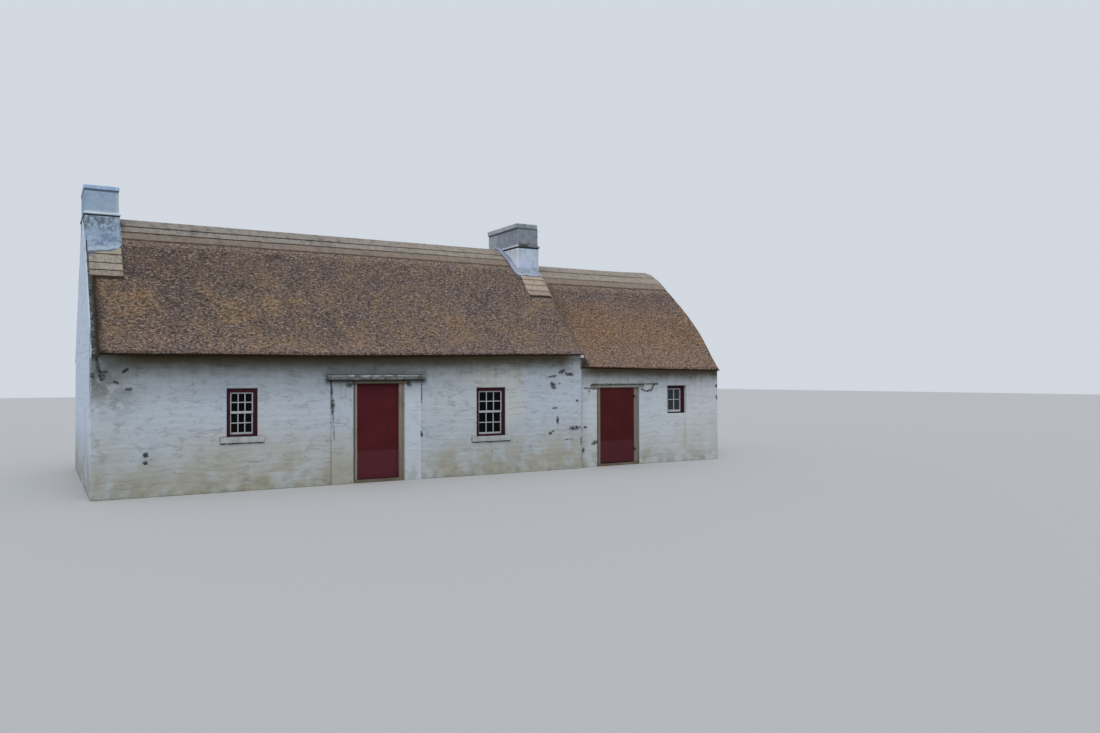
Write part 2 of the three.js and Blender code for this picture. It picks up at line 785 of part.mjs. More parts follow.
function buildWindow(group, one) {
  const out = outward(one);
  const between = (near, far) => {
    const a = one.faceY - out * near;
    const b = one.faceY - out * far;
    return [Math.min(a, b), Math.max(a, b)];
  };
  const frameY = between(one.recess, one.recess + windowFrameDeep);
  addPiece(group, `${one.name}_frame`, ring(one, frameY, one.jambs, one.head, one.foot), "redPaint");

  const sashFront = one.recess + sashRecess;
  const sashY = between(sashFront, sashFront + sashThick);
  const sashBox = {
    x0: one.x0 + one.jambs[0] + gap,
    x1: one.x1 - one.jambs[1] - gap,
    z0: one.z0 + one.foot + gap,
    z1: one.z1 - one.head - gap,
  };
  const middleZ = (sashBox.z0 + sashBox.z1) / 2;
  let sash = ring(sashBox, sashY, [stile, stile], stile, bottomRail);
  if (one.sill) {
    const railZ = [middleZ - meetingRail / 2, middleZ + meetingRail / 2];
    sash = join(sash, box(sashBox.x0 + 1, sashBox.x1 - 1, ...sashY, ...railZ));
  }
  addPiece(group, `${one.name}_sash`, sash, "sashPaint");

  const glassY = between(sashFront + sashThick + gap, sashFront + sashThick + gap + glassThick);
  const glass = box(
    sashBox.x0 + glassRebate,
    sashBox.x1 - glassRebate,
    ...glassY,
    sashBox.z0 + glassRebate,
    sashBox.z1 - glassRebate,
  );
  addPiece(group, `${one.name}_glass`, glass, "glass");

  if (one.sill) {
    const inner = sillSeatY(one);
    const nose = one.faceY + out * sillProud;
    const foot = sillBottomZ(one);
    const profile = [[inner, foot], [nose, foot], [nose, one.z0 - gap - sillDrop], [inner, one.z0 - gap]];
    const outline = out < 0 ? profile.reverse() : profile;
    addPiece(group, `${one.name}_sill`, alongX(outline, one.x0 - one.sill, one.x1 + one.sill), "stone");
  }
}

for (const one of windows) {
  buildWindow(openings, one);
}

// The whole cottage, moved so that the origin is under its middle at ground level.
const leftmost = leftChimney.lower.x0 - courseProud;
const middleOfLength = (leftmost + extensionRoof.right) / 2;
cottage.add(walls, roof, chimneys, openings);
cottage.position.set(-middleOfLength, -ridgeY, -groundZ);

export default cottage;
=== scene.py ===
"""Looks of a long thatched cottage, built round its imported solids.

Shapes are worked out in the facade frame, in metres: X runs right along the front wall from the
left gable, Y runs back from the main front face, and Z runs up from the main door's sill. Every
mesh is then moved into the row frame of the solids.
"""

import math

import bmesh
import bpy
import numpy as np
from mathutils import Matrix, Vector


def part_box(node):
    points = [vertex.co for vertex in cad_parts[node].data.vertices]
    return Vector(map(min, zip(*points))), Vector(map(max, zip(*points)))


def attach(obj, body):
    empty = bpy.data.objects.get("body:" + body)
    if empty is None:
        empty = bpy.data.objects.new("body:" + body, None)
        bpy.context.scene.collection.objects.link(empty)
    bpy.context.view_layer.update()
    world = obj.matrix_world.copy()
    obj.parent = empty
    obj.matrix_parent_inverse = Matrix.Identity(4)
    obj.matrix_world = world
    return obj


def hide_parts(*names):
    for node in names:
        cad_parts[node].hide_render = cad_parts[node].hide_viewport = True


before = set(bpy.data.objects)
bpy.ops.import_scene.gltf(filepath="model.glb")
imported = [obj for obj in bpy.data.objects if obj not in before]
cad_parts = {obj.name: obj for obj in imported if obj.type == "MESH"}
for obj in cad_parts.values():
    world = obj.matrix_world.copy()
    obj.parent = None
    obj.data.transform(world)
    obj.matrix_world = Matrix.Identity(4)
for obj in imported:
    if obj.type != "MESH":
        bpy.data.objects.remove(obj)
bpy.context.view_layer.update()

# The facade frame's origin is this far from the row frame's.
ORIGIN = np.array([7.080, 3.103, -0.070])
GROUND = -0.07

# Walls
LENGTH = 14.138
MAIN_LENGTH = 9.966
DEPTH = 6.206
RIDGE_Y = DEPTH / 2
SETBACK = 0.081  # of the extension's long faces behind the main ones
JUNCTION = (9.95, 10.3)  # between these the limewash turns to the extension's colour
SLAB_MIDDLE = 5.085  # of the slab over the main door
WALL_OVERLAP = 0.08  # by which the limewashed face runs up inside the thatch

# Roofs: a point of the upper face, its pitch up to the knee where it starts to round over, and
# the ridge.
MAIN_ROOF = {"nose_y": -0.1, "nose_z": 2.5, "pitch": 44, "knee_y": 2.0, "ridge_z": 5.231}
SIDE_ROOF = {"nose_y": 0.02, "nose_z": 2.24, "pitch": 45.5, "knee_y": 1.95, "ridge_z": 4.88}
THATCH_DROP = 0.4  # thickness of the thatch, straight down
THATCH_LEFT = 0.112
THATCH_RIGHT = 14.178
THATCH_SEAM = 9.968  # where the main thatch's piece meets the extension's
SWOOP = (9.90, 10.28)  # between these the main thatch comes down to the extension's
EAVE_SWITCH = (9.955, 9.985)  # between these its lower edge does
SWELL = 0.15  # of the thatch near the right-hand verge

# Lower edges of the straw bands, as distances from the front face
MAIN_BANDS = (2.30, 2.495, 2.70)
SIDE_BANDS = (2.15, 2.335, 2.63)

# The camera that took the photograph, in the facade frame.
CAMERA_AT = np.array([-0.821, -16.716, 2.027])
CAMERA_YAW = 30.759
CAMERA_PITCH = 0.681
CAMERA_ROLL = -0.198
FOCAL_PIXELS = 865.66
PHOTO_WIDTH = 1100
SENSOR = 36.0


# Repeatable noise for shapes


def lattice(ix, iy, seed):
    """A repeatable random number from 0 to 1 for each pair of whole numbers."""
    mask = 0xFFFFFFFF
    mixed = (ix.astype(np.int64) * 374761393 + iy.astype(np.int64) * 668265263 + seed * 974711) & mask
    mixed = ((mixed ^ (mixed >> 13)) * 1274126177) & mask
    return ((mixed ^ (mixed >> 16)) & 0xFFFF) / 65535.0


def lumps(x, y, seed):
    """Smooth noise from 0 to 1 with lumps one unit across."""
    ix, iy = np.floor(x), np.floor(y)
    fx, fy = x - ix, y - iy
    fx = fx * fx * (3 - 2 * fx)
    fy = fy * fy * (3 - 2 * fy)
    near = lattice(ix, iy, seed) * (1 - fx) + lattice(ix + 1, iy, seed) * fx
    far = lattice(ix, iy + 1, seed) * (1 - fx) + lattice(ix + 1, iy + 1, seed) * fx
    return near * (1 - fy) + far * fy


def rough(x, y, size, seed, octaves=3):
    """Noise from about -1 to 1 whose largest lumps are size metres across."""
    total = np.zeros(np.broadcast(x, y).shape)
    strength, reach = 1.0, 0.0
    for octave in range(octaves):
        total = total + strength * (2 * lumps(x / size, y / size, seed + 17 * octave) - 1)
        reach += strength
        strength *= 0.55
        size *= 0.47
    return total / reach


def smooth(value, low, high):
    """0 below low, 1 above high, and a smooth step between."""
    share = np.clip((value - low) / (high - low), 0, 1)
    return share * share * (3 - 2 * share)


# Stains. Each field is 2 in the middle of a mark, 1 at its edge and falls to 0 outside it.


def spots(x, z, marks):
    """The field of round marks: x, z, width, height and turn in degrees."""
    field = np.zeros(x.shape)
    for at_x, at_z, wide, high, turn in marks:
        angle = math.radians(turn)
        along = (x - at_x) * math.cos(angle) + (z - at_z) * math.sin(angle)
        across = (z - at_z) * math.cos(angle) - (x - at_x) * math.sin(angle)
        field = np.maximum(field, 2 - np.hypot(along / (wide / 2), across / (high / 2)))
    return field


def lines(x, z, marks):
    """The field of broken lines: a half-width, then the points that the line joins."""
    field = np.zeros(x.shape)
    for half, *route in marks:
        for (ax, az), (bx, bz) in zip(route, route[1:]):
            length = math.hypot(bx - ax, bz - az)
            share = np.clip(((x - ax) * (bx - ax) + (z - az) * (bz - az)) / length**2, 0, 1)
            far = np.hypot(x - ax - share * (bx - ax), z - az - share * (bz - az))
            field = np.maximum(field, 2 - far / half)
    return field


# Bare or mouldy patches: near the meeting of the two walls, on the left corner, by the doors
DARK_SPOTS = [
    (9.434, 2.144, 0.20, 0.10, 20), (9.624, 2.083, 0.24, 0.09, -8), (9.175, 2.032, 0.28, 0.05, 10),
    (9.198, 1.824, 0.24, 0.12, -45), (9.372, 1.875, 0.07, 0.06, 0), (9.312, 1.040, 0.08, 0.22, 0),
    (9.762, 0.852, 0.32, 0.10, 0), (9.25, 1.32, 0.15, 0.06, 0), (10.105, 0.858, 0.12, 0.06, 0),
    (9.124, 0.766, 0.10, 0.08, 0), (9.20, 0.80, 0.05, 0.05, 0), (9.954, 0.573, 0.07, 0.18, 0),
    (10.054, 0.318, 0.07, 0.16, 0), (10.375, 0.497, 0.20, 0.10, 20), (9.837, 1.480, 0.07, 0.06, 0),
    (0.023, 2.074, 0.08, 0.12, 0), (0.165, 2.050, 0.10, 0.18, 15), (0.110, 2.190, 0.07, 0.14, 10),
    (0.216, 2.136, 0.09, 0.05, 0), (0.385, 1.953, 0.10, 0.06, -30), (0.535, 2.160, 0.15, 0.06, 40),
    (0.589, 1.829, 0.13, 0.07, 0), (0.850, 0.668, 0.11, 0.10, 0), (0.845, 0.539, 0.08, 0.08, 0),
    (4.535, 1.895, 0.20, 0.15, 0), (5.730, 1.905, 0.22, 0.12, -35), (6.030, 0.850, 0.08, 0.12, 0),
    (4.175, 1.480, 0.08, 0.36, 0), (10.220, 1.685, 0.07, 0.06, 0), (14.090, 1.780, 0.10, 0.10, 0),
    (14.110, 1.500, 0.08, 0.14, 0),
]
# Cracks and grooves; the line under the left window's sill is painted shadow along with stain, and the lines
# under the left end of the side door's lintel are painted shadow
DARK_LINES = [
    (0.026, (9.985, 1.60), (9.97, 1.20), (10.00, 0.80), (9.98, 0.40), (10.01, 0.05)),
    (0.020, (9.50, 0.60), (9.62, 0.61), (9.72, 0.60)),
    (0.024, (4.150, 1.97), (4.165, 1.60), (4.190, 1.20), (4.200, 0.82)),
    (0.020, (6.035, 1.97), (6.030, 1.50)), (0.022, (10.30, 1.850), (11.80, 1.852)),
    (0.030, (10.10, 1.765), (10.26, 1.745), (10.41, 1.755)), (0.036, (10.30, 1.742), (10.42, 1.748)),
    (0.030, (9.955, 2.42), (9.945, 2.22)), (0.034, (0.09, 2.40), (0.10, 2.25), (0.15, 2.10)),
    (0.036, (11.60, 1.84), (12.22, 1.845)),
    (0.044, (11.72, 1.72), (11.86, 1.67), (12.02, 1.69), (12.10, 1.82)),
    (0.018, (2.09, 0.812), (2.88, 0.812)), (0.020, (7.18, 0.635), (8.10, 0.635)),
    (0.018, (7.63, 0.62), (7.65, 0.40), (7.63, 0.24)),
]
OCHRE_SPOTS = [
    (8.33, 2.05, 0.10, 0.50, 0), (13.06, 0.62, 0.10, 1.00, 0), (11.86, 0.12, 0.32, 0.36, 0),
    (4.35, 1.75, 0.06, 0.45, 0), (4.43, 1.70, 0.05, 0.55, 0), (9.64, 0.30, 0.30, 0.20, 0),
]


# Materials


def srgb(red, green, blue):
    """Linear values of a colour given as it shows on a screen, from 0 to 255."""
    return tuple(
        (c / 255 / 12.92) if c <= 10 else ((c / 255 + 0.055) / 1.055) ** 2.4 for c in (red, green, blue)
    )


class Shader:
    """A node material, built up from its coordinates. Its methods return output sockets.

    Colours are given as they show on a screen, from 0 to 255.
    """

    def __init__(self, name, roughness=0.9, gloss=0.1):
        self.material = bpy.data.materials.new(name)
        self.material.use_nodes = True
        self.tree = self.material.node_tree
        self.surface = self.tree.nodes["Principled BSDF"]
        self.surface.inputs["Roughness"].default_value = roughness
        self.surface.inputs["Specular IOR Level"].default_value = gloss
        place = self.add("ShaderNodeTexCoord").outputs["Object"]
        moved = self.add("ShaderNodeVectorMath", {0: place, 1: tuple(ORIGIN)}, operation="ADD")
        self.place = moved.outputs[0]
        self.x, self.y, self.z = self.add("ShaderNodeSeparateXYZ", {0: self.place}).outputs
        self.colour = None

    def add(self, kind, inputs=None, **settings):
        node = self.tree.nodes.new(kind)
        for key, value in settings.items():
            setattr(node, key, value)
        for key, value in (inputs or {}).items():
            self.put(node.inputs[key], value)
        return node

    def put(self, socket, value):
        if isinstance(value, bpy.types.NodeSocket):
            self.tree.links.new(value, socket)
        elif socket.type == "RGBA":
            socket.default_value = (*srgb(*value), 1.0)
        else:
            socket.default_value = value

    def mark(self, name):
        """A value that the mesh carries at its points."""
        return self.add("ShaderNodeAttribute", attribute_name=name).outputs["Fac"]

    def maths(self, operation, a, b=0.0):
        return self.add("ShaderNodeMath", {0: a, 1: b}, operation=operation).outputs[0]

    def plus(self, a, b):
        return self.maths("ADD", a, b)

    def minus(self, a, b):
        return self.maths("SUBTRACT", a, b)

    def times(self, first, *others):
        for other in others:
            first = self.maths("MULTIPLY", first, other)
        return first

    def noise(self, size, detail=3.0, stretch=(1, 1, 1), roughness=0.55, warp=0.0):
        """Noise with lumps of a size in metres, longer along the axes with a small stretch."""
        place = self.add("ShaderNodeVectorMath", {0: self.place, 1: stretch}, operation="MULTIPLY")
        inputs = {"Vector": place.outputs[0], "Scale": 1 / size, "Detail": detail}
        inputs.update({"Roughness": roughness, "Distortion": warp})
        return self.add("ShaderNodeTexNoise", inputs).outputs["Fac"]

    def step(self, value, low, high, out_low=0.0, out_high=1.0):
        """A smooth step from out_low to out_high as value goes from low to high."""
        inputs = {"Value": value, "From Min": low, "From Max": high, "To Min": out_low, "To Max": out_high}
        return self.add("ShaderNodeMapRange", inputs, interpolation_type="SMOOTHSTEP").outputs["Result"]

    def band(self, value, start, full, still, end):
        """Up from start to full, and down again from still to end."""
        return self.times(self.step(value, start, full), self.step(value, end, still))

    def off(self, value, middle):
        """How far a value is from a middle, either way."""
        return self.maths("ABSOLUTE", self.minus(value, middle))

    def creases(self, noise, width):
        """1 along the lines where a noise crosses its middle value."""
        return self.step(self.off(noise, 0.5), width, width * 0.3)

    def ragged(self, field, edge, reach):
        """A mask of a mark's field whose outline is broken up by an edge noise."""
        shaken = self.plus(field, self.times(self.minus(edge, 0.5), reach * 4))
        return self.step(shaken, 0.85, 1.5)

    def ramp(self, value, *stops):
        """Colours by value; each stop is (position, colour)."""
        node = self.add("ShaderNodeValToRGB", {0: value})
        elements = node.color_ramp.elements
        while len(elements) < len(stops):
            elements.new(0.5)
        for element, (position, colour) in zip(elements, stops):
            element.position = position
            element.color = (*srgb(*colour), 1.0)
        return node.outputs["Color"]

    def tint(self, colour, *shares):
        """Mixes a colour over the surface's, by the product of some shares."""
        inputs = {"Factor": self.times(*shares), 6: self.colour, 7: colour}
        self.colour = self.add("ShaderNodeMix", inputs, data_type="RGBA").outputs[2]

    def finish(self, height, distance=0.01, strength=1.0):
        self.put(self.surface.inputs["Base Color"], self.colour)
        inputs = {"Height": height, "Distance": distance, "Strength": strength}
        self.put(self.surface.inputs["Normal"], self.add("ShaderNodeBump", inputs).outputs[0])
        return self.material


def limewash_material():
    """White limewash over rubble: cool, rippled and ochre near the ground, with painted shade in the ripple's
    hollows, painted light on the gable ends, and grime with painted shade under the eaves and round the
    door's slab.
    """
    s = Shader("limewash", 0.92)
    ripple = s.noise(0.15, 4, stretch=(0.55, 0.55, 1.15), roughness=0.6, warp=0.3)
    flat_lines = s.creases(s.noise(0.24, 4, stretch=(0.36, 0.36, 1.5), warp=0.3), 0.02)
    seams = s.times(flat_lines, s.step(s.noise(0.3, 3), 0.48, 0.58))
    s.colour = s.ramp(s.noise(1.6, 3, warp=0.4), (0.3, (172, 182, 194)), (0.5, (178, 186, 194)),
                      (0.68, (178, 181, 183)))
    # Painted light: the gable ends are made whiter than the long faces, as if more brightly lit
    gable = s.maths("MAXIMUM", s.step(s.x, 0.006, -0.006), s.step(s.x, LENGTH - 0.006, LENGTH + 0.006))
    s.tint((208, 221, 238), gable, 0.85)
    s.tint((188, 187, 176), s.step(s.off(s.x, 7.9), 0.8, 0.3), s.step(s.z, 0.9, 1.3), 0.5)
    # Painted shade: the limewash is darker where the ripple's bump is low
    s.tint((138, 144, 148), s.step(ripple, 0.46, 0.34, 0.0, 0.42))
    s.tint((112, 116, 114), seams, 0.24)
    s.tint((197, 201, 204), s.step(s.x, *JUNCTION), 0.5)
    # Cream and green near the ground
    by_door = s.off(s.x, 5.85)
    s.tint((156, 151, 133), s.step(s.z, 1.35, 0.1), s.step(s.noise(0.5, 4, warp=0.5), 0.26, 0.60, 0.15, 1.0),
           s.step(by_door, 0.2, 0.7, 0.25, 0.8), s.step(s.x, *JUNCTION, 1.0, 0.45))
    s.tint((204, 213, 226), s.step(by_door, 0.2, 0.15, 0.0, 0.35))
    s.tint((116, 116, 90), s.step(s.z, 0.45, GROUND), s.step(s.noise(0.22, 3), 0.4, 0.65), 0.4)
    ochre = s.ragged(s.mark("ochre"), s.noise(0.05, 5, stretch=(1, 1, 0.5), roughness=0.75), 0.9)
    s.tint((146, 128, 86), ochre, 0.3)
    # Under the eaves: dirty drips, then painted shade mixed with grime in a wide grey, a narrower dark and a
    # brown line
    below_eave = s.minus(1.0, s.minus(s.mark("near_eave"), s.times(s.minus(ripple, 0.5), 0.14)))
    drips = s.step(s.noise(0.10, 4, stretch=(1, 1, 0.10), roughness=0.65), 0.48, 0.70)
    s.tint((112, 114, 110), s.step(below_eave, 0.95, 0.2), drips, 0.35)
    shade_and_grime = s.times(s.step(s.x, 0.08, 0.34, 0.35, 1.0), s.step(s.off(s.x, 9.9), 0.05, 0.5, 0.55, 1.0))
    far = s.times(shade_and_grime, s.step(s.x, 9.8, 10.6, 1.0, 0.74), s.step(s.x, 13.0, 14.0, 1.0, 0.6))
    s.tint((84, 88, 90), s.step(below_eave, 1.0, 0.45), far, s.step(s.x, 5.5, 8.5, 0.38, 0.14))
    s.tint((72, 74, 70), s.step(below_eave, 0.56, 0.12, 0.0, 0.84), far)
    s.tint((56, 47, 28), s.step(below_eave, 0.28, 0.05, 0.0, 0.92), shade_and_grime)
    # Painted shade, with some mould, below the main door's slab and above it
    below_slab = s.times(s.step(s.z, 1.83, 1.975, 0.0, 0.8), s.step(s.z, 2.02, 2.0))
    above_slab = s.times(s.step(s.z, 2.26, 2.10, 0.0, 0.45), s.step(s.z, 2.0, 2.02))
    slab_shade = s.maths("MAXIMUM", below_slab, above_slab)
    s.tint((48, 47, 40), slab_shade, s.step(s.off(s.x, SLAB_MIDDLE), 1.12, 1.0))
    # Moss on the left corner, and the dark marks: stains and cracks, with some painted shadow under a sill
    # and a lintel
    s.tint((92, 98, 94), s.mark("corner"), s.step(s.noise(0.2, 5, roughness=0.7), 0.36, 0.54), 0.85)
    dark = s.ragged(s.mark("dark"), s.noise(0.06, 6, roughness=0.8), 0.75)
    s.tint((42, 42, 36), dark, s.step(s.noise(0.05, 4), 0.34, 0.50, 0.5, 0.92))
    height = s.plus(s.times(ripple, 0.8), s.times(s.noise(0.02, 5, roughness=0.65), 0.25))
    height = s.minus(height, s.times(s.maths("MAXIMUM", dark, s.times(seams, 0.5)), 0.8))
    return s.finish(height, 0.013, 0.85)


def coping_material():
    """The raised gable edge: dark moss with pale chips of limewash, painted shade beside the thatch, and a
    white outer edge painted as brightly lit as the gable.
    """
    s = Shader("mossy_coping", 0.95)
    s.colour = s.ramp(s.noise(0.12, 4, warp=0.5), (0.35, (46, 48, 45)), (0.65, (82, 85, 82)))
    chips = s.step(s.noise(0.05, 5, roughness=0.75), 0.52, 0.62)
    s.tint((160, 170, 182), chips, s.step(s.x, 0.07, 0.02), 0.9)
    # Painted shade on the strip next to the thatch
    s.tint((56, 46, 40), s.step(s.x, 0.06, 0.09, 0.0, 0.85))
    # Painted light: the outer edge as white as the lit gable end
    s.tint((206, 219, 236), s.step(s.x, 0.012, -0.008), 0.95)
    return s.finish(s.noise(0.025, 5, roughness=0.7), 0.012)


def chimney_material(name, right_hand):
    """Plaster on a chimney: drips below the drip course, painted shadow under it and under the cap, and
    weathered above it on the right one, whose left side is whiter as painted light.
    """
    s = Shader(name, 0.93)
    patch = s.noise(0.35, 4, warp=0.5)
    dent = s.times(s.creases(s.noise(0.16, 4, warp=0.6), 0.03), s.step(s.noise(0.25, 2), 0.47, 0.56))
    streak = s.step(s.noise(0.07, 4, stretch=(1, 1, 0.25), roughness=0.75), 0.42, 0.58)
    edge = s.noise(0.06, 4, roughness=0.7)
    uneven = s.plus(s.z, s.times(s.minus(edge, 0.5), 0.10))
    if right_hand:
        s.colour = s.ramp(patch, (0.3, (176, 188, 208)), (0.5, (190, 201, 219)), (0.7, (198, 206, 220)))
        s.tint((130, 138, 148), dent, 0.3)
        # Painted light: the left face is made whiter
        s.tint((232, 239, 250), s.step(s.x, 9.475, 9.455, 0.0, 0.9))
        above = s.step(uneven, 5.27, 5.32)
        worn = s.ramp(s.noise(0.16, 5, warp=0.5, roughness=0.65), (0.34, (112, 116, 122)),
                      (0.56, (140, 146, 156)), (0.74, (166, 170, 176)))
        s.tint(worn, above, 0.92)
        # Painted light on the upper stack's left face
        s.tint((158, 164, 172), above, s.step(s.x, 9.46, 9.45), 0.3)
        s.tint((104, 110, 116), above, s.step(s.x, 9.46, 9.5), 0.3)
        lichen = s.step(s.noise(0.12, 4), 0.34, 0.5, 0.5, 1.0)
        s.tint((176, 184, 184), above, s.step(s.y, 3.16, 3.30), lichen, 0.8)
        ledge = s.band(s.z, 5.245, 5.26, 5.30, 5.32)
        # Painted light on the left end of the ledge
        s.tint((184, 192, 200), ledge, s.step(s.x, 9.47, 9.455), 0.5)
        s.tint((96, 102, 100), ledge, s.step(s.x, 9.455, 9.47), 0.8)
        s.tint((48, 52, 44), s.step(s.z, 5.262, 5.27), s.step(uneven, 5.40, 5.31), s.step(s.x, 9.46, 9.50),
               s.step(s.x, 9.86, 9.70, 0.35, 1.0), s.step(edge, 0.36, 0.50), 0.85)
        s.tint((134, 142, 134), streak, s.band(s.z, 4.85, 5.2, 5.245, 5.265), 0.4)
        # Painted shadow in lines under the drip course and under the cap
        line = s.band(s.z, 5.215, 5.228, 5.258, 5.268)
        cap_shadow = s.step(s.z, 5.685, 5.70, 0.0, 0.75)
    else:
        s.colour = s.ramp(patch, (0.3, (134, 154, 176)), (0.5, (150, 170, 191)), (0.7, (164, 180, 194)))
        lower = s.step(s.z, 5.25, 5.2)
        s.tint((118, 134, 152), s.step(s.noise(0.1, 5, roughness=0.7), 0.42, 0.58), lower, 0.45)
        s.tint((84, 94, 106), dent, lower, 0.6)
        s.tint((182, 198, 200), s.step(s.x, 0.54, 0.59), s.step(s.z, 5.25, 5.3), 0.6)
        s.tint((84, 90, 90), streak, s.step(uneven, 4.80, 5.05), s.step(s.z, 5.27, 5.25),
               s.step(s.x, 0.62, 0.45, 0.4, 1.0), 0.85)
        s.tint((206, 216, 226), s.band(s.z, 5.262, 5.268, 5.305, 5.33), 0.8)
        # Painted shadow in lines under the drip course and under the cap
        line = s.band(s.z, 5.225, 5.238, 5.26, 5.268)
        cap_shadow = s.step(s.z, 5.71, 5.725, 0.0, 0.8)
    s.tint((40, 44, 46), line, 0.92)
    s.tint((66, 72, 86), cap_shadow)
    height = s.plus(s.noise(0.09, 4), s.times(s.noise(0.018, 5, roughness=0.65), 0.3))
    return s.finish(s.minus(height, s.times(dent, 0.3)), 0.014, 0.9)


def cap_material(name, pale, dull, lichen, lit_side_x):
    """A chimney's cap, its left side whiter as painted light."""
    s = Shader(name, 0.93)
    s.colour = s.ramp(s.noise(0.2, 4, warp=0.4), (0.35, dull), (0.65, pale))
    s.tint(lichen, s.step(s.noise(0.05, 5, roughness=0.75), 0.54, 0.64), 0.6)
    # Painted light on the left side
    s.tint((200, 206, 212), s.step(s.x, lit_side_x + 0.012, lit_side_x - 0.002, 0.0, 0.6))
    return s.finish(s.noise(0.03, 5, roughness=0.7))


def mortar_material(name, pale, dull, rim_highlight):
    """Mortar round a chimney's foot, with a painted highlight on the rim at its lower edge and painted shadow
    along that edge.
    """
    s = Shader(name, 0.9)
    s.colour = s.ramp(s.noise(0.12, 4, warp=0.4), (0.38, dull), (0.62, pale))
    dent = s.times(s.creases(s.noise(0.11, 4, warp=0.6), 0.03), s.step(s.noise(0.25, 2), 0.45, 0.55))
    s.tint((78, 90, 108), dent, 0.65)
    # Painted highlight along the rim
    s.tint(rim_highlight, s.band(s.mark("foot"), 0.62, 0.78, 0.86, 0.94), 0.7)
    # Painted shadow along the lower edge
    s.tint((74, 76, 78), s.step(s.mark("foot"), 0.88, 0.96, 0.0, 0.7))
    return s.finish(s.noise(0.03, 5, roughness=0.7))


def thatch_material():
    """Cut reed ends: a strong speckle over ragged patches of purple-grey, brown and ochre."""
    s = Shader("thatch", 1.0)
    patch = s.plus(s.noise(0.75, 5, warp=0.9, roughness=0.62), s.step(s.z, 2.4, 4.8, 0.05, -0.045))
    s.colour = s.ramp(patch, (0.34, (95, 84, 80)), (0.46, (107, 94, 89)), (0.56, (119, 102, 89)),
                      (0.67, (140, 114, 88)))
    s.tint((74, 66, 64), s.step(s.z, 3.4, 4.2), s.step(s.x, 3.6, 1.0, 0.12, 0.4))
    golden = s.step(s.noise(0.28, 4, warp=0.7), 0.55, 0.66)
    s.tint((146, 118, 86), golden, s.step(s.z, 4.6, 3.2, 0.15, 0.45))
    s.tint((126, 112, 110), s.step(s.x, 2.0, 9.0, 0.0, 0.25))
    on_extension = s.step(s.x, 10.05, 10.3)
    s.tint((146, 111, 84), on_extension, s.step(s.z, 4.1, 3.4, 0.0, 0.5))
    s.tint((98, 84, 80), on_extension, s.step(s.z, 3.9, 4.3), 0.35)
    s.tint((138, 122, 118), s.step(s.z, 3.0, 2.5, 0.0, 0.3))
    s.tint((140, 102, 76), s.mark("warm"), 0.25)
    s.tint((149, 132, 118), s.mark("pale"), 0.75)
    # Single reed ends, darker and paler than their patch
    dashes = s.noise(0.044, 2, stretch=(0.7, 1, 1), roughness=0.6)
    specks = s.noise(0.024, 3, stretch=(0.8, 1, 1), roughness=0.75)
    both = s.plus(s.times(dashes, 0.4), s.times(specks, 0.6))
    s.tint((48, 40, 38), s.step(both, 0.505, 0.415, 0.0, 0.84))
    s.tint((182, 160, 140), s.step(both, 0.53, 0.61, 0.0, 0.84))
    s.tint((46, 36, 32), s.mark("shade"), 0.9)
    # Painted shade on the eave's cut face and underside
    s.tint((44, 24, 16), s.mark("cut"), 0.92)
    return s.finish(s.plus(both, s.times(s.noise(0.008, 3, roughness=0.7), 0.4)), 0.03)


def straw_material(name, pale, dull, warm):
    """Combed straw that lies down the slope, with the bundles' edges showing."""
    s = Shader(name, 0.95)
    strand = s.noise(0.014, 3, stretch=(1, 0.10, 0.10), roughness=0.7)
    bundle = s.noise(0.16, 4, stretch=(1, 0.55, 0.55), roughness=0.65)
    s.colour = s.ramp(bundle, (0.36, dull), (0.5, pale), (0.64, warm))
    s.tint((188, 174, 156), s.step(s.x, 3.0, 10.0, 0.0, 0.3))
    s.tint((100, 88, 78), s.step(strand, 0.56, 0.36, 0.0, 0.4))
    s.tint((120, 102, 88), s.mark("lowest"), 0.5)
    s.tint((102, 92, 86), s.step(s.noise(0.07, 4, warp=0.4, roughness=0.7), 0.52, 0.62), 0.4)
    return s.finish(s.plus(strand, s.times(bundle, 0.6)), 0.012)


def paint_material(name, deep, worn, foot, seam_z):
    """Paint on boards: faint grain, and a paler, purplish foot below a level."""
    s = Shader(name, 0.55)
    s.colour = s.ramp(s.noise(0.4, 3), (0.3, deep), (0.7, worn))
    s.tint(foot, s.step(s.z, seam_z + 0.01, seam_z - 0.01, 0.0, 0.75))
    return s.finish(s.noise(0.02, 4, stretch=(1, 1, 0.06), roughness=0.6), 0.002, 0.6)


def grained(name, dark, pale, worn, roughness=0.85):
    """A shader of upright wood grain, worn in patches, and its grain."""
    s = Shader(name, roughness)
    grain = s.noise(0.014, 4, stretch=(1, 1, 0.05), roughness=0.65)
    s.colour = s.ramp(grain, (0.35, dark), (0.65, pale))
    s.tint(worn, s.step(s.noise(0.3, 3), 0.5, 0.7, 0.0, 0.3))
    return s, grain


def wood_material(name, dark, pale, roughness=0.85):
    s, grain = grained(name, dark, pale, dark, roughness)
    return s.finish(grain, 0.003)


def jamb_material():
    """Bare weathered wood: greyer on the extension's door, with painted shade along its left edges and across
    the main door's head under the slab.
    """
    s, grain = grained("frame_wood", (114, 103, 88), (144, 135, 122), (112, 98, 80))
    s.tint((164, 164, 164), s.step(s.x, 4.68, 4.64, 0.0, 0.45))
    s.tint((112, 107, 101), s.step(s.x, 8.0, 9.0, 0.0, 0.7))
    # Painted shade along the left edges of the doors' frames
    for left_x in (4.605, 10.45):
        s.tint((54, 53, 50), s.step(s.off(s.x, left_x), 0.044, 0.03, 0.0, 0.8))
    # Painted shade across the main door's head, under its slab
    s.tint((62, 56, 44), s.step(s.off(s.z, 1.925), 0.03, 0.015, 0.0, 0.6))
    return s.finish(grain, 0.003)


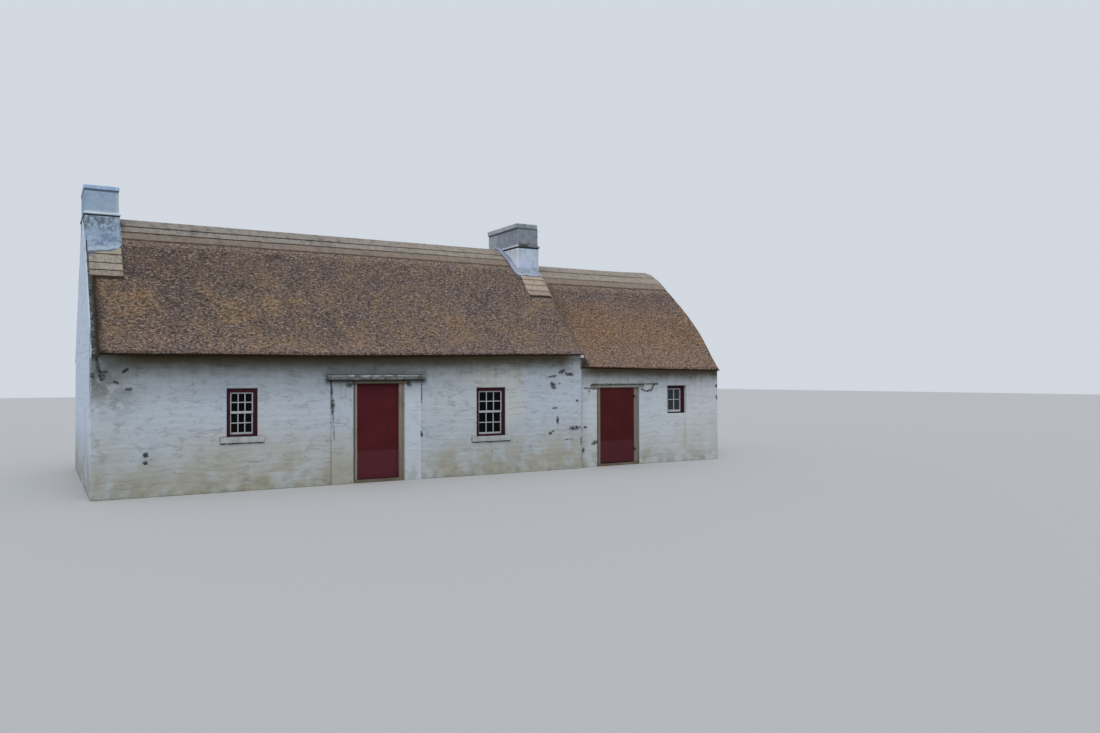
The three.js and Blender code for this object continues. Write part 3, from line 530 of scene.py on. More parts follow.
def stone_material(name, pale, dull, stain, reach=0.55, dark_top=9.0):
    """Dressed stone, black from the height of its dark top upwards."""
    s = Shader(name, 0.9)
    s.colour = s.ramp(s.noise(0.18, 4, warp=0.4), (0.35, dull), (0.65, pale))
    s.tint(stain, s.step(s.noise(0.06, 5, roughness=0.75), 0.53, 0.64, 0.0, reach))
    s.tint((42, 42, 38), s.step(s.z, dark_top - 0.01, dark_top, 0.0, 0.9))
    return s.finish(s.noise(0.02, 5, roughness=0.7), 0.006)


def slab_material():
    """The lintel slab: pale along its top edge as painted light, mouldy on its face, black beneath with moss
    and painted shade.
    """
    s = Shader("lintel_slab", 0.9)
    s.colour = s.ramp(s.noise(0.14, 4, warp=0.4), (0.35, (104, 107, 108)), (0.65, (142, 146, 150)))
    # Painted highlight along the top edge
    s.tint((192, 198, 202), s.step(s.z, 2.046, 2.060, 0.0, 0.8))
    mould = s.step(s.noise(0.10, 5, stretch=(0.6, 1, 1), roughness=0.75), 0.46, 0.57)
    s.tint((60, 62, 50), mould, 0.75)
    s.tint((72, 74, 64), s.step(s.off(s.x, SLAB_MIDDLE), 0.5, 0.65, 0.0, 0.4))
    # Moss and painted shade beneath
    s.tint((40, 40, 28), s.step(s.z, 1.992, 1.980, 0.0, 0.9))
    return s.finish(s.noise(0.03, 5, roughness=0.7))


def glass_material(name, colour):
    """Old window glass, opaque, its colour painted as the shade of the dark room behind it."""
    s = Shader(name, 0.08, gloss=0.05)
    s.colour = colour
    return s.finish(s.noise(0.12, 2), 0.002, 0.4)


def iron_material():
    s = Shader("black_iron", 0.6)
    s.colour = s.ramp(s.noise(0.02, 4), (0.35, (30, 26, 26)), (0.7, (62, 46, 42)))
    return s.finish(s.noise(0.004, 4), 0.001)


def clay_material():
    s = Shader("earth_floor", 0.95)
    s.colour = s.ramp(s.noise(0.5, 5), (0.3, (86, 76, 66)), (0.7, (122, 110, 96)))
    return s.finish(s.noise(0.05, 5), 0.006)


LIMEWASH = limewash_material()
COPING = coping_material()
LEFT_PLASTER = chimney_material("left_plaster", False)
MIDDLE_PLASTER = chimney_material("middle_plaster", True)
LEFT_CAP = cap_material("left_cap_lime", (178, 202, 232), (152, 176, 206), (122, 136, 154), -0.01)
MIDDLE_CAP = cap_material("middle_cap_lichen", (156, 163, 168), (122, 129, 136), (186, 192, 192), 9.42)
LEFT_MORTAR = mortar_material("left_mortar", (150, 167, 188), (118, 134, 154), (172, 186, 198))
MIDDLE_MORTAR = mortar_material("middle_mortar", (163, 173, 190), (140, 148, 166), (172, 178, 190))
THATCH = thatch_material()
RIDGE_STRAW = straw_material("ridge_straw", (149, 144, 138), (122, 117, 112), (160, 150, 137))
LEFT_APRON = straw_material("left_apron_straw", (166, 158, 146), (142, 135, 126), (178, 165, 143))
MIDDLE_APRON = straw_material("middle_apron_straw", (182, 168, 154), (158, 145, 136), (190, 173, 150))
# Painted shade: dark straw for the bands' lips
LIP_SHADE = straw_material("straw_lip_shade", (60, 48, 40), (44, 35, 30), (76, 62, 52))
DOOR_PAINT = paint_material("door_paint", (70, 21, 26), (81, 27, 33), (87, 40, 49), 0.556)
SIDE_PAINT = paint_material("side_door_paint", (64, 17, 20), (74, 22, 25), (80, 37, 43), 0.52)
JAMB_WOOD = jamb_material()
RED_PAINT = wood_material("window_red", (44, 16, 22), (60, 25, 31), 0.6)
WHITE_PAINT = wood_material("sash_white", (156, 160, 165), (180, 183, 187), 0.6)
SILL_STONE = stone_material("sill_stone", (176, 180, 180), (150, 152, 146), (122, 120, 104), 0.4)
LINTEL_STONE = stone_material("side_lintel", (138, 136, 130), (116, 114, 106), (92, 90, 82), dark_top=1.822)
SLAB = slab_material()
TIMBER = wood_material("roof_timber", (60, 46, 34), (104, 84, 62))
GLASS = glass_material("window_glass", (8.24, 9.88, 11.47))
PALE_GLASS = glass_material("small_window_glass", (52.5, 57.1, 61.9))
IRON = iron_material()
CLAY = clay_material()


# Meshes


def carry(mesh, marks):
    """Gives a mesh named values at its points, for the materials."""
    for mark, values in marks.items():
        layer = mesh.attributes.new(mark, "FLOAT", "POINT")
        layer.data.foreach_set("value", np.asarray(values, np.float32))


def finish_piece(name, mesh, material, body, nodes):
    """Links a mesh as a smooth object that rides on a body and stands for some nodes."""
    mesh.materials.append(material)
    mesh.polygons.foreach_set("use_smooth", [True] * len(mesh.polygons))
    thing = bpy.data.objects.new(name, mesh)
    bpy.context.scene.collection.objects.link(thing)
    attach(thing, body)
    if nodes:
        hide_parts(*nodes)
    return thing


def piece(name, points, faces, material, nodes=(), marks=None, closed=True):
    """An object from facade-frame points. Marks are named values at them, for the materials."""
    mesh = bpy.data.meshes.new(name)
    rows = [[int(corner) for corner in face] for face in faces]
    mesh.from_pydata((np.asarray(points, float) - ORIGIN).tolist(), [], rows)
    carry(mesh, marks or {})
    mesh.validate()
    if closed:
        work = bmesh.new()
        work.from_mesh(mesh)
        bmesh.ops.recalc_face_normals(work, faces=work.faces)
        work.to_mesh(mesh)
        work.free()
    return finish_piece(name, mesh, material, "cottage", nodes)


def node_box(node):
    """A CAD node's box in the facade frame: x0, x1, y0, y1, z0, z1."""
    low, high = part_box(node)
    low, high = np.array(low) + ORIGIN, np.array(high) + ORIGIN
    return low[0], high[0], low[1], high[1], low[2], high[2]


def stops(start, end, step, fixed=()):
    """Lines from start to end about a step apart, with one exactly at each fixed value."""
    marks = sorted({start, end, *[f for f in fixed if start < f < end]})
    result = []
    for a, b in zip(marks, marks[1:]):
        count = max(1, round((b - a) / step))
        result.extend(a + (b - a) * i / count for i in range(count))
    return np.array([*result, marks[-1]])


def grid(rows, columns, closed=False):
    """Faces of a grid of points listed row by row; closed joins the last column to the first."""
    across = columns if closed else columns - 1
    r, c = np.meshgrid(np.arange(rows - 1), np.arange(across), indexing="ij")
    right = (c + 1) % columns
    quads = [r * columns + c, r * columns + right, (r + 1) * columns + right, (r + 1) * columns + c]
    return np.stack(quads, -1).reshape(-1, 4)


def rim(points, faces, inward):
    """Adds a strip along every open edge, running inwards by each point's own step."""
    edges = np.concatenate([faces[:, [i, (i + 1) % 4]] for i in range(4)])
    key = np.sort(edges, 1)
    _, first, count = np.unique(key, axis=0, return_index=True, return_counts=True)
    open_edges = edges[first[count == 1]]
    used = np.unique(open_edges)
    renumber = {old: len(points) + i for i, old in enumerate(used)}
    more = [[b, a, renumber[a], renumber[b]] for a, b in open_edges]
    return np.concatenate([points, points[used] + inward[used]]), np.concatenate([faces, more])


def mirrored(points):
    """Facade-frame points turned to the back slope or the back wall."""
    other = np.array(points, float)
    other[..., 1] = 2 * RIDGE_Y - other[..., 1]
    return other


# Roof lines


def roof_z(roof, y):
    """Height of a roof's upper face: straight to the knee, then an arc up to the ridge."""
    y = np.where(y > RIDGE_Y, 2 * RIDGE_Y - y, y)
    pitch = math.radians(roof["pitch"])
    knee_z = roof["nose_z"] + (roof["knee_y"] - roof["nose_y"]) * math.tan(pitch)
    run, rise = RIDGE_Y - roof["knee_y"], roof["ridge_z"] - knee_z
    end = 2 * math.atan2(rise, run) - pitch
    radius = math.hypot(run, rise) / (2 * math.sin((pitch - end) / 2))
    straight = roof["nose_z"] + (y - roof["nose_y"]) * math.tan(pitch)
    sine = np.clip(math.sin(pitch) - (y - roof["knee_y"]) / radius, -1, 1)
    arc = knee_z + radius * (np.sqrt(1 - sine**2) - math.cos(pitch))
    return np.where(y <= roof["knee_y"], straight, arc)


def thatch_z(x, y):
    """Height of the thatch: the main roof's, then down to the extension's across the valley.

    It swells towards the right-hand verge, halfway up the slope.
    """
    share = smooth(x, SWOOP[0] + 0.09 * smooth(y, 0.5, 1.3), SWOOP[1])
    swell = SWELL * smooth(x, 12.9, 14.1) * smooth(y, 0.0, 0.9) * smooth(y, 2.3, 1.1)
    return roof_z(MAIN_ROOF, y) * (1 - share) + roof_z(SIDE_ROOF, y) * share + swell


def eave(x):
    """The thatch's front edge: its distance from the front face, and its lowest height."""
    climb = smooth(x, 3.5, 10.5)
    share = smooth(x, *EAVE_SWITCH)
    edge_y = (-0.1 + 0.05 * climb) * (1 - share) + SIDE_ROOF["nose_y"] * share
    main_z = 2.432 + 0.077 * climb
    side_z = 2.218 - 0.0146 * (x - 10.27)
    return edge_y, main_z * (1 - share) + side_z * share


def band_edge(x, low, seed):
    """The wavy lower edge of a straw band."""
    return low + 0.009 * rough(x, np.zeros(np.shape(x)), 0.35, seed)


# Walls: a skin of limewashed rubble runs round each part of the house


COURSE_HEIGHTS = (0.09, 0.17)
STONE_LENGTHS = (0.16, 0.52)
CORNER_RADIUS = 0.026
RETURN = 0.024  # by which a wall's skin turns in at its edges


def rubble(along, z, seed):
    """Height of the rubble under its limewash, from 0 to about 1."""
    rng = np.random.default_rng(seed)
    level = z + 0.075 * rough(along, z * 0.5, 0.8, seed + 1)
    courses = np.cumsum(rng.uniform(*COURSE_HEIGHTS, 60)) - 0.2
    course = np.searchsorted(courses, level)
    bottom = np.concatenate([[-0.4], courses])[course]
    top = np.concatenate([courses, [9.9]])[course]
    result = np.zeros(level.shape)
    for number in np.unique(course):
        joints = np.cumsum(rng.uniform(*STONE_LENGTHS, 130)) - 2.0
        here = course == number
        where = along[here] + 0.02 * rough(along[here] * 3, level[here], 0.2, seed + 5, 2)
        stone = np.clip(np.searchsorted(joints, where), 1, len(joints) - 1)
        side = np.minimum(where - joints[stone - 1], joints[stone] - where)
        up = np.minimum(level[here] - bottom[here], top[here] - level[here])
        face = lattice(stone, np.full(stone.shape, number), seed + 3)
        result[here] = (0.35 + 0.65 * face) * smooth(np.minimum(side, up), -0.004, 0.036)
    return result


def wall_relief(along, z, seed):
    """How far the limewashed face stands out, in metres."""
    stones = rubble(along, z, seed)
    soft = rough(along, z, 0.5, seed + 11)
    ripple = rough(along * 0.4, z, 0.09, seed + 23, 2)
    return 0.004 + 0.007 * stones + 0.005 * (soft + 1) + 0.002 * (ripple + 1)


def wall_marks(points):
    """What the limewash carries at each point of a wall: stains, and how near it is to the eave."""
    x, y, z = points.T
    front = y < 0.3
    long_face = (front | (y > DEPTH - 0.3)) & (x > 0.0) & (x < LENGTH)
    _, edge_z = eave(x)
    corner = smooth(x, 0.75, 0.1) * smooth(z, 1.3, 2.0)
    below = 0.45 * smooth(x, 0.95, 0.4) * smooth(z, 1.15, 1.6) * smooth(z, 2.0, 1.75)
    return {
        "dark": np.where(front, np.maximum(spots(x, z, DARK_SPOTS), 0.78 * lines(x, z, DARK_LINES)), 0),
        "ochre": np.where(front, spots(x, z, OCHRE_SPOTS), 0),
        "near_eave": np.where(long_face, np.clip(1 - (edge_z - z), 0, 1), 0),
        "corner": np.where(front, np.maximum(corner, below), 0),
    }


def wall_path(corners, step, fixed, travelled):
    """Columns round a run of corners: x, y, outward normal, distance along, segment number.

    The corners go round to the left, and the wall is rounded there.
    """
    corners = [np.array(c, float) for c in corners]
    columns = []
    for i, (a, b) in enumerate(zip(corners, corners[1:])):
        length = np.linalg.norm(b - a)
        heading = (b - a) / length
        normal = np.array([heading[1], -heading[0]])
        turns = i + 2 < len(corners)
        start = CORNER_RADIUS if i > 0 else 0.0
        end = length - (CORNER_RADIUS if turns else 0.0)
        for at in stops(start, end, step, fixed.get(i, ())):
            columns.append((*(a + heading * at), *normal, travelled + at, i))
        travelled += length
        if turns:
            centre = b - heading * CORNER_RADIUS - normal * CORNER_RADIUS
            for share in (0.25, 0.5, 0.75):
                angle = share * math.pi / 2
                blend = normal * math.cos(angle) + heading * math.sin(angle)
                columns.append((*(centre + blend * CORNER_RADIUS), *blend, travelled, i))
    return np.array(columns)


def wall_skin(name, corners, top, seed, holes=(), gable=None, travelled=0.0, step=(0.04, 0.024)):
    """The limewashed face round a run of corners, open where holes are.

    A hole is (segment, from, to, bottom, top, reveal). The gable is (segment, height at y).
    """
    fixed = {}
    for segment, start, end, *_ in holes:
        fixed.setdefault(segment, []).extend([start, end])
    columns = wall_path(corners, step[0], fixed, travelled)
    levels = stops(GROUND, top, step[1], [z for hole in holes for z in hole[3:5]])
    x, y, nx, ny, along, segment = columns.T

    def surface(z):
        """Points and inward steps for rows of heights, one height per column in each row."""
        spread = [np.broadcast_to(v, z.shape) for v in (x, y, nx, ny, along)]
        out = wall_relief(spread[4], z, seed) * (1 - 0.5 * smooth(np.abs(spread[2]), 0.3, 0.95))
        flat = np.stack([spread[0] + spread[2] * out, spread[1] + spread[3] * out, z], -1)
        inwards = np.stack([-spread[2], -spread[3], np.zeros(z.shape)], -1)
        return flat.reshape(-1, 3), inwards.reshape(-1, 3)

    starts = {i: along[segment == i][0] - (CORNER_RADIUS if i else 0) for i in np.unique(segment)}
    points, inward = surface(np.repeat(levels[:, None], len(x), 1))
    faces = grid(len(levels), len(x))
    reach = np.full(len(points), RETURN)
    middle = points[faces].mean(1)
    column = faces[:, 0] % len(x)
    local = (along[column] + along[np.minimum(column + 1, len(x) - 1)]) / 2
    keep = np.ones(len(faces), bool)
    for number, start, end, bottom, high, reveal in holes:
        at = local - starts[number]
        inside = (segment[column] == number) & (at > start) & (at < end)
        inside &= (middle[:, 2] > bottom) & (middle[:, 2] < high)
        keep &= ~inside
        reach[np.unique(faces[inside])] = reveal
    points, faces = rim(points, faces[keep], inward * reach[:, None])
    if gable:
        number, height = gable
        wide = segment == number
        share = stops(0, 1, 0.012)[:, None]
        x, y, nx, ny, along = (v[wide] for v in (x, y, nx, ny, along))
        upper, step_in = surface(top + (height(y) - top) * share)
        more = grid(len(share), len(x))
        upper, more = rim(upper, more, step_in * 0.02)
        points, faces = np.concatenate([points, upper]), np.concatenate([faces, more + len(points)])
    return piece(name, points, faces, LIMEWASH, marks=wall_marks(points), closed=False)


# Thatch


def thatch_marks(x, y, z):
    """What the thatch carries at each point of its front slope or, mirrored, of the back one."""
    edge_y, edge_z = eave(x)
    over_main = x < THATCH_SEAM
    low = np.where(over_main, band_edge(x, MAIN_BANDS[0], 13), band_edge(x, SIDE_BANDS[0], 19))
    under_band = low - y
    covered = np.where(over_main, (x > 0.64) & (x < 9.44), x > 10.1)
    shade = smooth(under_band, 0.06, 0.01) * covered * 0.7
    shade = np.maximum(shade, smooth(x, 0.26, 0.12) * 0.75)
    shade = np.maximum(shade, smooth(x + 1.2 * (z - edge_z), 0.42, 0.22) * 0.85)
    valley = smooth(np.abs(x - 10.08), 0.20, 0.03) * smooth(z, 2.66, 2.35) * (x > 9.94)
    shade = np.maximum(shade, valley * 0.85)
    for spec in CHIMNEYS.values():
        x0, x1 = spec["apron_x"]
        beside = smooth(x, x0 - 0.03, x0) * smooth(x, x1 + 0.03, x1)
        shade = np.maximum(shade, beside * smooth(np.abs(spec["apron"][0] - y - 0.02), 0.06, 0.03))
    pale = smooth(under_band, 0.26, 0.04) * covered * 0.9
    crescent = smooth(np.abs(y - 1.35), 0.08, 0.02) * smooth(x, 9.36, 9.46) * smooth(x, 10.12, 10.02)
    pale = np.maximum(pale, crescent * 0.6)
    bay = smooth(np.abs(x - 10.25), 0.35, 0.05) * smooth(y, 0.9, 1.5) * (x > THATCH_SEAM)
    shade = np.maximum(shade, bay * 0.3)
    warm = smooth(np.abs(x - 11.1), 0.80, 0.20) * smooth(y, 0.2, 0.9) * smooth(y, 1.9, 1.4)
    # Painted shade on the eave's cut face and on its underside
    cut = np.maximum(smooth(z - edge_z, 0.034, 0.022), (y > edge_y + 0.05) & (z < edge_z + 0.02))
    return {"shade": shade, "pale": pale, "warm": warm, "cut": cut}


FACE_ROWS = 11
SLOPE_ROWS = 150


def thatch_half(name, x0, x1, back, nodes):
    """One slope of the thatch, from its underside round the eave and up to the ridge."""
    xs = stops(x0, x1, 0.03, EAVE_SWITCH)
    edge_y, edge_z = (v[:, None] for v in eave(xs))
    fall = 0.02 * smooth(xs, THATCH_LEFT + 0.10, THATCH_LEFT)
    fall = (fall + 0.03 * smooth(xs, THATCH_RIGHT - 0.045, THATCH_RIGHT))[:, None]
    corner = smooth(xs, THATCH_RIGHT - 0.10, THATCH_RIGHT)[:, None]
    x = xs[:, None]
    slope_y = edge_y + np.linspace(0, 1, SLOPE_ROWS) * (RIDGE_Y - edge_y)
    fall = fall + 0.07 * corner * smooth(slope_y, 0.9, 0.0)
    slope_z = thatch_z(x, slope_y) - fall
    rise = np.linspace(0, 1, FACE_ROWS + 1)[:-1]
    face_z = edge_z + (slope_z[:, :1] - edge_z) * rise
    face_y = edge_y + 0.030 * (1 - rise) ** 2 + 0.012 * smooth(rise, 0.7, 1.0)
    under_y = edge_y + np.array([0.55, 0.11])
    under_z = edge_z + np.array([0.006, 0.003])
    y = np.concatenate([under_y, face_y, slope_y], 1)
    z = np.concatenate([under_z, face_z, slope_z], 1)
    x = np.broadcast_to(x, y.shape)
    steps = np.linspace(-0.3, 0, FACE_ROWS + under_y.shape[1])
    run = np.concatenate([steps + 0 * edge_y, (slope_y - edge_y) * 1.4], 1)
    lift = 0.007 + 0.008 * rough(x, run, 0.9, 3) + 0.0045 * rough(x, run, 0.09, 12, 2)
    lift = lift * np.concatenate([[0, 0.2], np.ones(y.shape[1] - 2)])
    pitch = math.radians(MAIN_ROOF["pitch"])
    marks = thatch_marks(x, y, z)
    y = np.minimum(y - lift * math.sin(pitch), RIDGE_Y)
    z = z + lift * math.cos(pitch)
    rows, count = y.shape
    flat = np.stack([x, y, z], -1).reshape(-1, 3)
    below = np.stack([xs, np.full(rows, RIDGE_Y), z[:, -1] - THATCH_DROP], 1)
    faces = grid(rows, count)[:, ::-1].tolist()
    foot = rows * count
    for i in range(rows - 1):
        first, second = i * count, (i + 1) * count
        last, after = first + count - 1, second + count - 1
        faces.append([last, foot + i, foot + i + 1, after])
        faces.append([foot + i, first, second, foot + i + 1])
    for i in (0, rows - 1):
        faces.append([*range(i * count, (i + 1) * count), foot + i])
    flat = np.concatenate([flat, below])
    padded = {mark: np.concatenate([values.ravel(), np.zeros(rows)]) for mark, values in marks.items()}
    if back:
        flat = mirrored(flat)
    return piece(name, flat, faces, THATCH, nodes, marks=padded)


def straw_bands(name, x0, x1, edges, material, seed, nodes, sides, thick=0.031, rise=None):
    """Stepped bands of straw across a slope, from the lowest edge to the last value in edges.

    Each band up the slope lies on the one below it. Its lower edge is a lip, coloured dark as painted shade.
    """
    xs = stops(x0, x1, 0.04)
    extra = rise(xs) if rise else 0 * xs
    points, faces, lips = [], [], []
    for band, (low, high) in enumerate(zip(edges, edges[1:])):
        tuck = min(high + 0.08, edges[-1])
        start = band_edge(xs, low, seed + band)
        straw = 0.003 * rough(xs, np.full(xs.shape, band * 5.1), 0.05, seed + 31 + band, 2)
        base = band * thick
        profile = [(0.0, 0.0, -0.03), (0.0, -0.004, thick * 0.8), (0.03, 0.0, thick * 1.08),
                   (0.3, 0.0, thick * 1.05), (0.6, 0.0, thick), (1.0, 0.0, thick * 0.85)]
        sheet = []
        for share, out, lift in profile:
            ys = start + (tuck - start) * share + out
            up = base + lift + straw + extra * min(share * 3, 1)
            sheet.append(np.stack([xs, ys, thatch_z(xs, ys) + up], 1))
        offset = sum(len(p) for p in points)
        points.append(np.concatenate(sheet))
        quads = grid(len(sheet), len(xs)) + offset
        lips.extend(range(len(faces), len(faces) + len(xs) - 1))
        faces.extend(quads.tolist())
        for end in (0, len(xs) - 1):
            faces.append([offset + r * len(xs) + end for r in range(len(sheet))])
    flat = np.concatenate(points)
    lowest = np.zeros(len(flat))
    lowest[:len(points[0])] = 1.0 if sides == "both" else 0.6
    if sides == "both":
        lips += [i + len(faces) for i in lips]
        faces = faces + [[i + len(flat) for i in face] for face in faces]
        flat = np.concatenate([flat, mirrored(flat)])
        lowest = np.concatenate([lowest, lowest])
    elif sides == "back":
        flat = mirrored(flat)
    thing = piece(name, flat, faces, material, nodes, marks={"lowest": lowest})
    thing.data.materials.append(LIP_SHADE)
    for i in lips:
        thing.data.polygons[i].material_index = 1


# Chimneys


PER_SIDE = 16  # points along a chimney's side
PER_CORNER = 4


def round_rect(x0, x1, y0, y1, z, radius):
    """Points round a rectangle with rounded corners, anticlockwise from above."""
    corners = [(x1 - radius, y0 + radius, -90), (x1 - radius, y1 - radius, 0),
               (x0 + radius, y1 - radius, 90), (x0 + radius, y0 + radius, 180)]
    out = []
    for i, (cx, cy, start) in enumerate(corners):
        for k in range(PER_CORNER + 1):
            angle = math.radians(start + 90 * k / PER_CORNER)
            out.append((cx + radius * math.cos(angle), cy + radius * math.sin(angle), z))
        nx, ny, after = corners[(i + 1) % 4]
        begin = out[-1]
        angle = math.radians(after)
        end = (nx + radius * math.cos(angle), ny + radius * math.sin(angle), z)
        for k in range(1, PER_SIDE):
            out.append(tuple(b + (e - b) * k / PER_SIDE for b, e in zip(begin, end)))
    return np.array(out)


def grown(rect, out):
    x0, x1, y0, y1 = rect
    return x0 - out, x1 + out, y0 - out, y1 + out


def rings_piece(name, rings, centre, material, seed, node):
    """A plastered body from rings (rectangle, z, radius, roughness); the last closes on the first."""
    points = np.stack([round_rect(*rect, z, radius) for rect, z, radius, _ in rings])
    rows, count = points.shape[:2]
    strength = np.array([ring[3] for ring in rings])[:, None]
    away = points[..., :2] - centre
    away = away / np.abs(away).max(1, keepdims=True)
    sides = np.where(np.abs(away) > 0.95, np.sign(away), away * 0.2)
    around, up = points[..., 0] * 1.3 + points[..., 1], points[..., 2]
    relief = 0.007 * rough(around, up, 0.2, seed) + 0.003 * rough(around, up, 0.05, seed + 4)
    points[..., :2] += sides * ((relief - 0.002) * strength)[..., None]
    points[..., 2] += 0.004 * strength * rough(around, up * 0, 0.3, seed + 9)
    faces = grid(rows, count, closed=True).tolist()
    last = (rows - 1) * count
    for i in range(count):
        after = (i + 1) % count
        faces.append([last + i, last + after, after, i])
    return piece(name, points.reshape(-1, 3), faces, material, [node])


SEAT_Z = 3.9  # of the stack's foot in the gable
LEAN_Z = 4.66  # from here up the stack leans in
FLUE_X = 0.115  # half the flue's width
FLUE_Y = 0.15  # half its depth from front to back
FLUE_DEPTH = 0.69  # down from the stack's top


def chimney(name, spec, seed):
    """A chimney from its seat in the gable up to its open flue, and its cap."""
    lower, upper = spec["lower"], spec["upper"]
    x0, x1 = lower[:2]
    lean_y0, lean_y1 = spec["lean"]
    course_z, top_z, cap_z = spec["course_z"], spec["top_z"], spec["cap_z"]
    rings = [(lower, z, 0.03, 1.0) for z in stops(SEAT_Z, LEAN_Z - 0.02, 0.05)]
    for z in stops(LEAN_Z, course_z - 0.06, 0.05):
        share = (z - LEAN_Z) / (course_z - 0.06 - LEAN_Z)
        y0 = lower[2] + (lean_y0 - lower[2]) * share
        y1 = lower[3] + (lean_y1 - lower[3]) * share
        rings.append(((x0, x1, y0, y1), z, 0.03, 1.0))
    top = (x0, x1, lean_y0, lean_y1)
    course = [(-0.02, -0.047), (0.014, -0.043), (0.018, -0.030), (0.014, -0.010), (0.006, 0.0)]
    rings += [(grown(top, out), course_z + up, 0.02, 0.7) for out, up in course]
    rings += [(upper, z, 0.025, 1.0) for z in stops(course_z + 0.006, top_z - 0.002, 0.045)]
    mid_x, mid_y = (upper[0] + upper[1]) / 2, (upper[2] + upper[3]) / 2
    flue = (mid_x - FLUE_X, mid_x + FLUE_X, mid_y - FLUE_Y, mid_y + FLUE_Y)
    well = [(flue, top_z - down, 0.012, 0.0) for down in (0.001, 0.35, FLUE_DEPTH)]
    floor = [(grown(flue, -0.1), top_z - FLUE_DEPTH, 0.005, 0.0),
             (grown(lower, -0.2), SEAT_Z, 0.03, 0.0)]
    centre = np.array([mid_x, mid_y])
    rings_piece(f"{name}_plaster", rings + well + floor, centre, spec["plaster"], seed, f"{name}_stack")
    over = spec["cap_plan"]
    cap = [(grown(over, -0.012), top_z + 0.001, 0.03, 0.3), (over, top_z + 0.010, 0.035, 0.6)]
    cap += [(over, z, 0.035, 0.8) for z in stops(top_z + 0.022, cap_z - 0.006, 0.025)]
    cap += [(grown(over, -0.004), cap_z - 0.001, 0.035, 0.6), (grown(over, -0.04), cap_z, 0.035, 0.3)]
    cap += [(flue, cap_z - 0.004, 0.012, 0.0), (flue, top_z + 0.001, 0.012, 0.0)]
    rings_piece(f"{name}_cap_lime", cap, centre, spec["cap"], seed + 3, f"{name}_cap")


def flashing(name, material, inner, outer, seed, back=False):
    """Mortar from a stack's faces down on to the roof.

    The inner route is (x, y) along the stack; the outer one, as long, is (x, y, lift) with its
    height over the thatch, where it laps over straw.
    """
    inner, outer = np.array(inner, float), np.array(outer, float)
    run = np.concatenate([[0], np.cumsum(np.linalg.norm(np.diff(outer[:, :2], axis=0), axis=1))])
    at = stops(0, run[-1], 0.03)
    near, far = (np.stack([np.interp(at, run, v[:, i]) for i in (0, 1)], 1) for v in (inner, outer))
    lap = np.interp(at, run, outer[:, 2])
    profile = [(0.0, -0.03), (0.0, 0.022), (0.05, 0.042), (0.2, 0.056), (0.45, 0.055), (0.75, 0.06),
               (1.0, 0.085), (1.15, 0.05)]
    uneven = rough(at, at * 0, 0.16, seed)
    rows, foot = [], []
    for share, lift in profile:
        spot = far + (near - far) * share - (far - near) * (0.12 * (1 - share) * uneven[:, None])
        z = thatch_z(spot[:, 0], spot[:, 1]) + lift * (1 + 0.2 * uneven) + lap
        rows.append(np.column_stack([spot, z]))
        foot.append(np.full(len(at), 1.0 - share))
    points = np.concatenate(rows)
    if back:
        points = mirrored(points)
    faces = grid(len(rows), len(at)).tolist()
    piece(name, points, faces, material, marks={"foot": np.concatenate(foot)})


SHARP = 40  # degrees between faces that meet in a sharp edge
MOST_CUTS = 7


def blocks(name, boxes, material, nodes=(), bevel=0.004, body="cottage", fine=None, relief=0.0, seed=0,
           rods=(), marks=None):
    """Boxes and upright rods with softened edges as one object.

    Fine is the length of the facets that a rough one is cut into, and relief how deep it is.
    """
    work = bmesh.new()
    for x0, x1, y0, y1, z0, z1 in boxes:
        size = Vector((x1 - x0, y1 - y0, z1 - z0))
        made = bmesh.ops.create_cube(work, size=1.0)
        bmesh.ops.scale(work, vec=size, verts=made["verts"])
        bmesh.ops.translate(work, vec=Vector((x0, y0, z0)) + size / 2, verts=made["verts"])
        edges = list({e for v in made["verts"] for e in v.link_edges})
        soft = min(bevel, min(size) * 0.45)
        bmesh.ops.bevel(work, geom=edges, offset=soft, segments=2, affect="EDGES", profile=0.7)
    for x, y, z0, z1, radius in rods:
        made = bmesh.ops.create_cone(work, cap_ends=True, segments=20, radius1=radius, radius2=radius,
                                     depth=z1 - z0)
        bmesh.ops.translate(work, vec=Vector((x, y, (z0 + z1) / 2)), verts=made["verts"])
    if fine:
        for _ in range(MOST_CUTS):
            long_edges = [e for e in work.edges if e.calc_length() > fine * 1.5]
            if not long_edges:
                break
            bmesh.ops.subdivide_edges(work, edges=long_edges, cuts=1, use_grid_fill=True)
        work.normal_update()
        co = np.array([v.co for v in work.verts])
        push = relief * rough(co[:, 0] + co[:, 1] * 1.7, co[:, 2] + co[:, 1], 0.12, seed)
        for vertex, amount in zip(work.verts, push):
            vertex.co += vertex.normal * float(amount)
    bmesh.ops.translate(work, vec=-Vector(ORIGIN), verts=work.verts)
    mesh = bpy.data.meshes.new(name)
    work.to_mesh(mesh)
    work.free()
    if marks:
        carry(mesh, marks(np.array([v.co for v in mesh.vertices]) + ORIGIN))
    finish_piece(name, mesh, material, body, nodes)
    mesh.set_sharp_from_angle(angle=math.radians(SHARP))


# Walls of the two parts of the house

WINDOWS = {f"{side}_window": node_box(f"{side}_window_frame") for side in ("left", "right", "small", "back")}

REVEAL = 0.035  # how far the limewash turns into a window's opening
SMALL_REVEAL = 0.09
EDGE_REVEAL = 0.03  # and how far round a sill, the door's panels and its slab


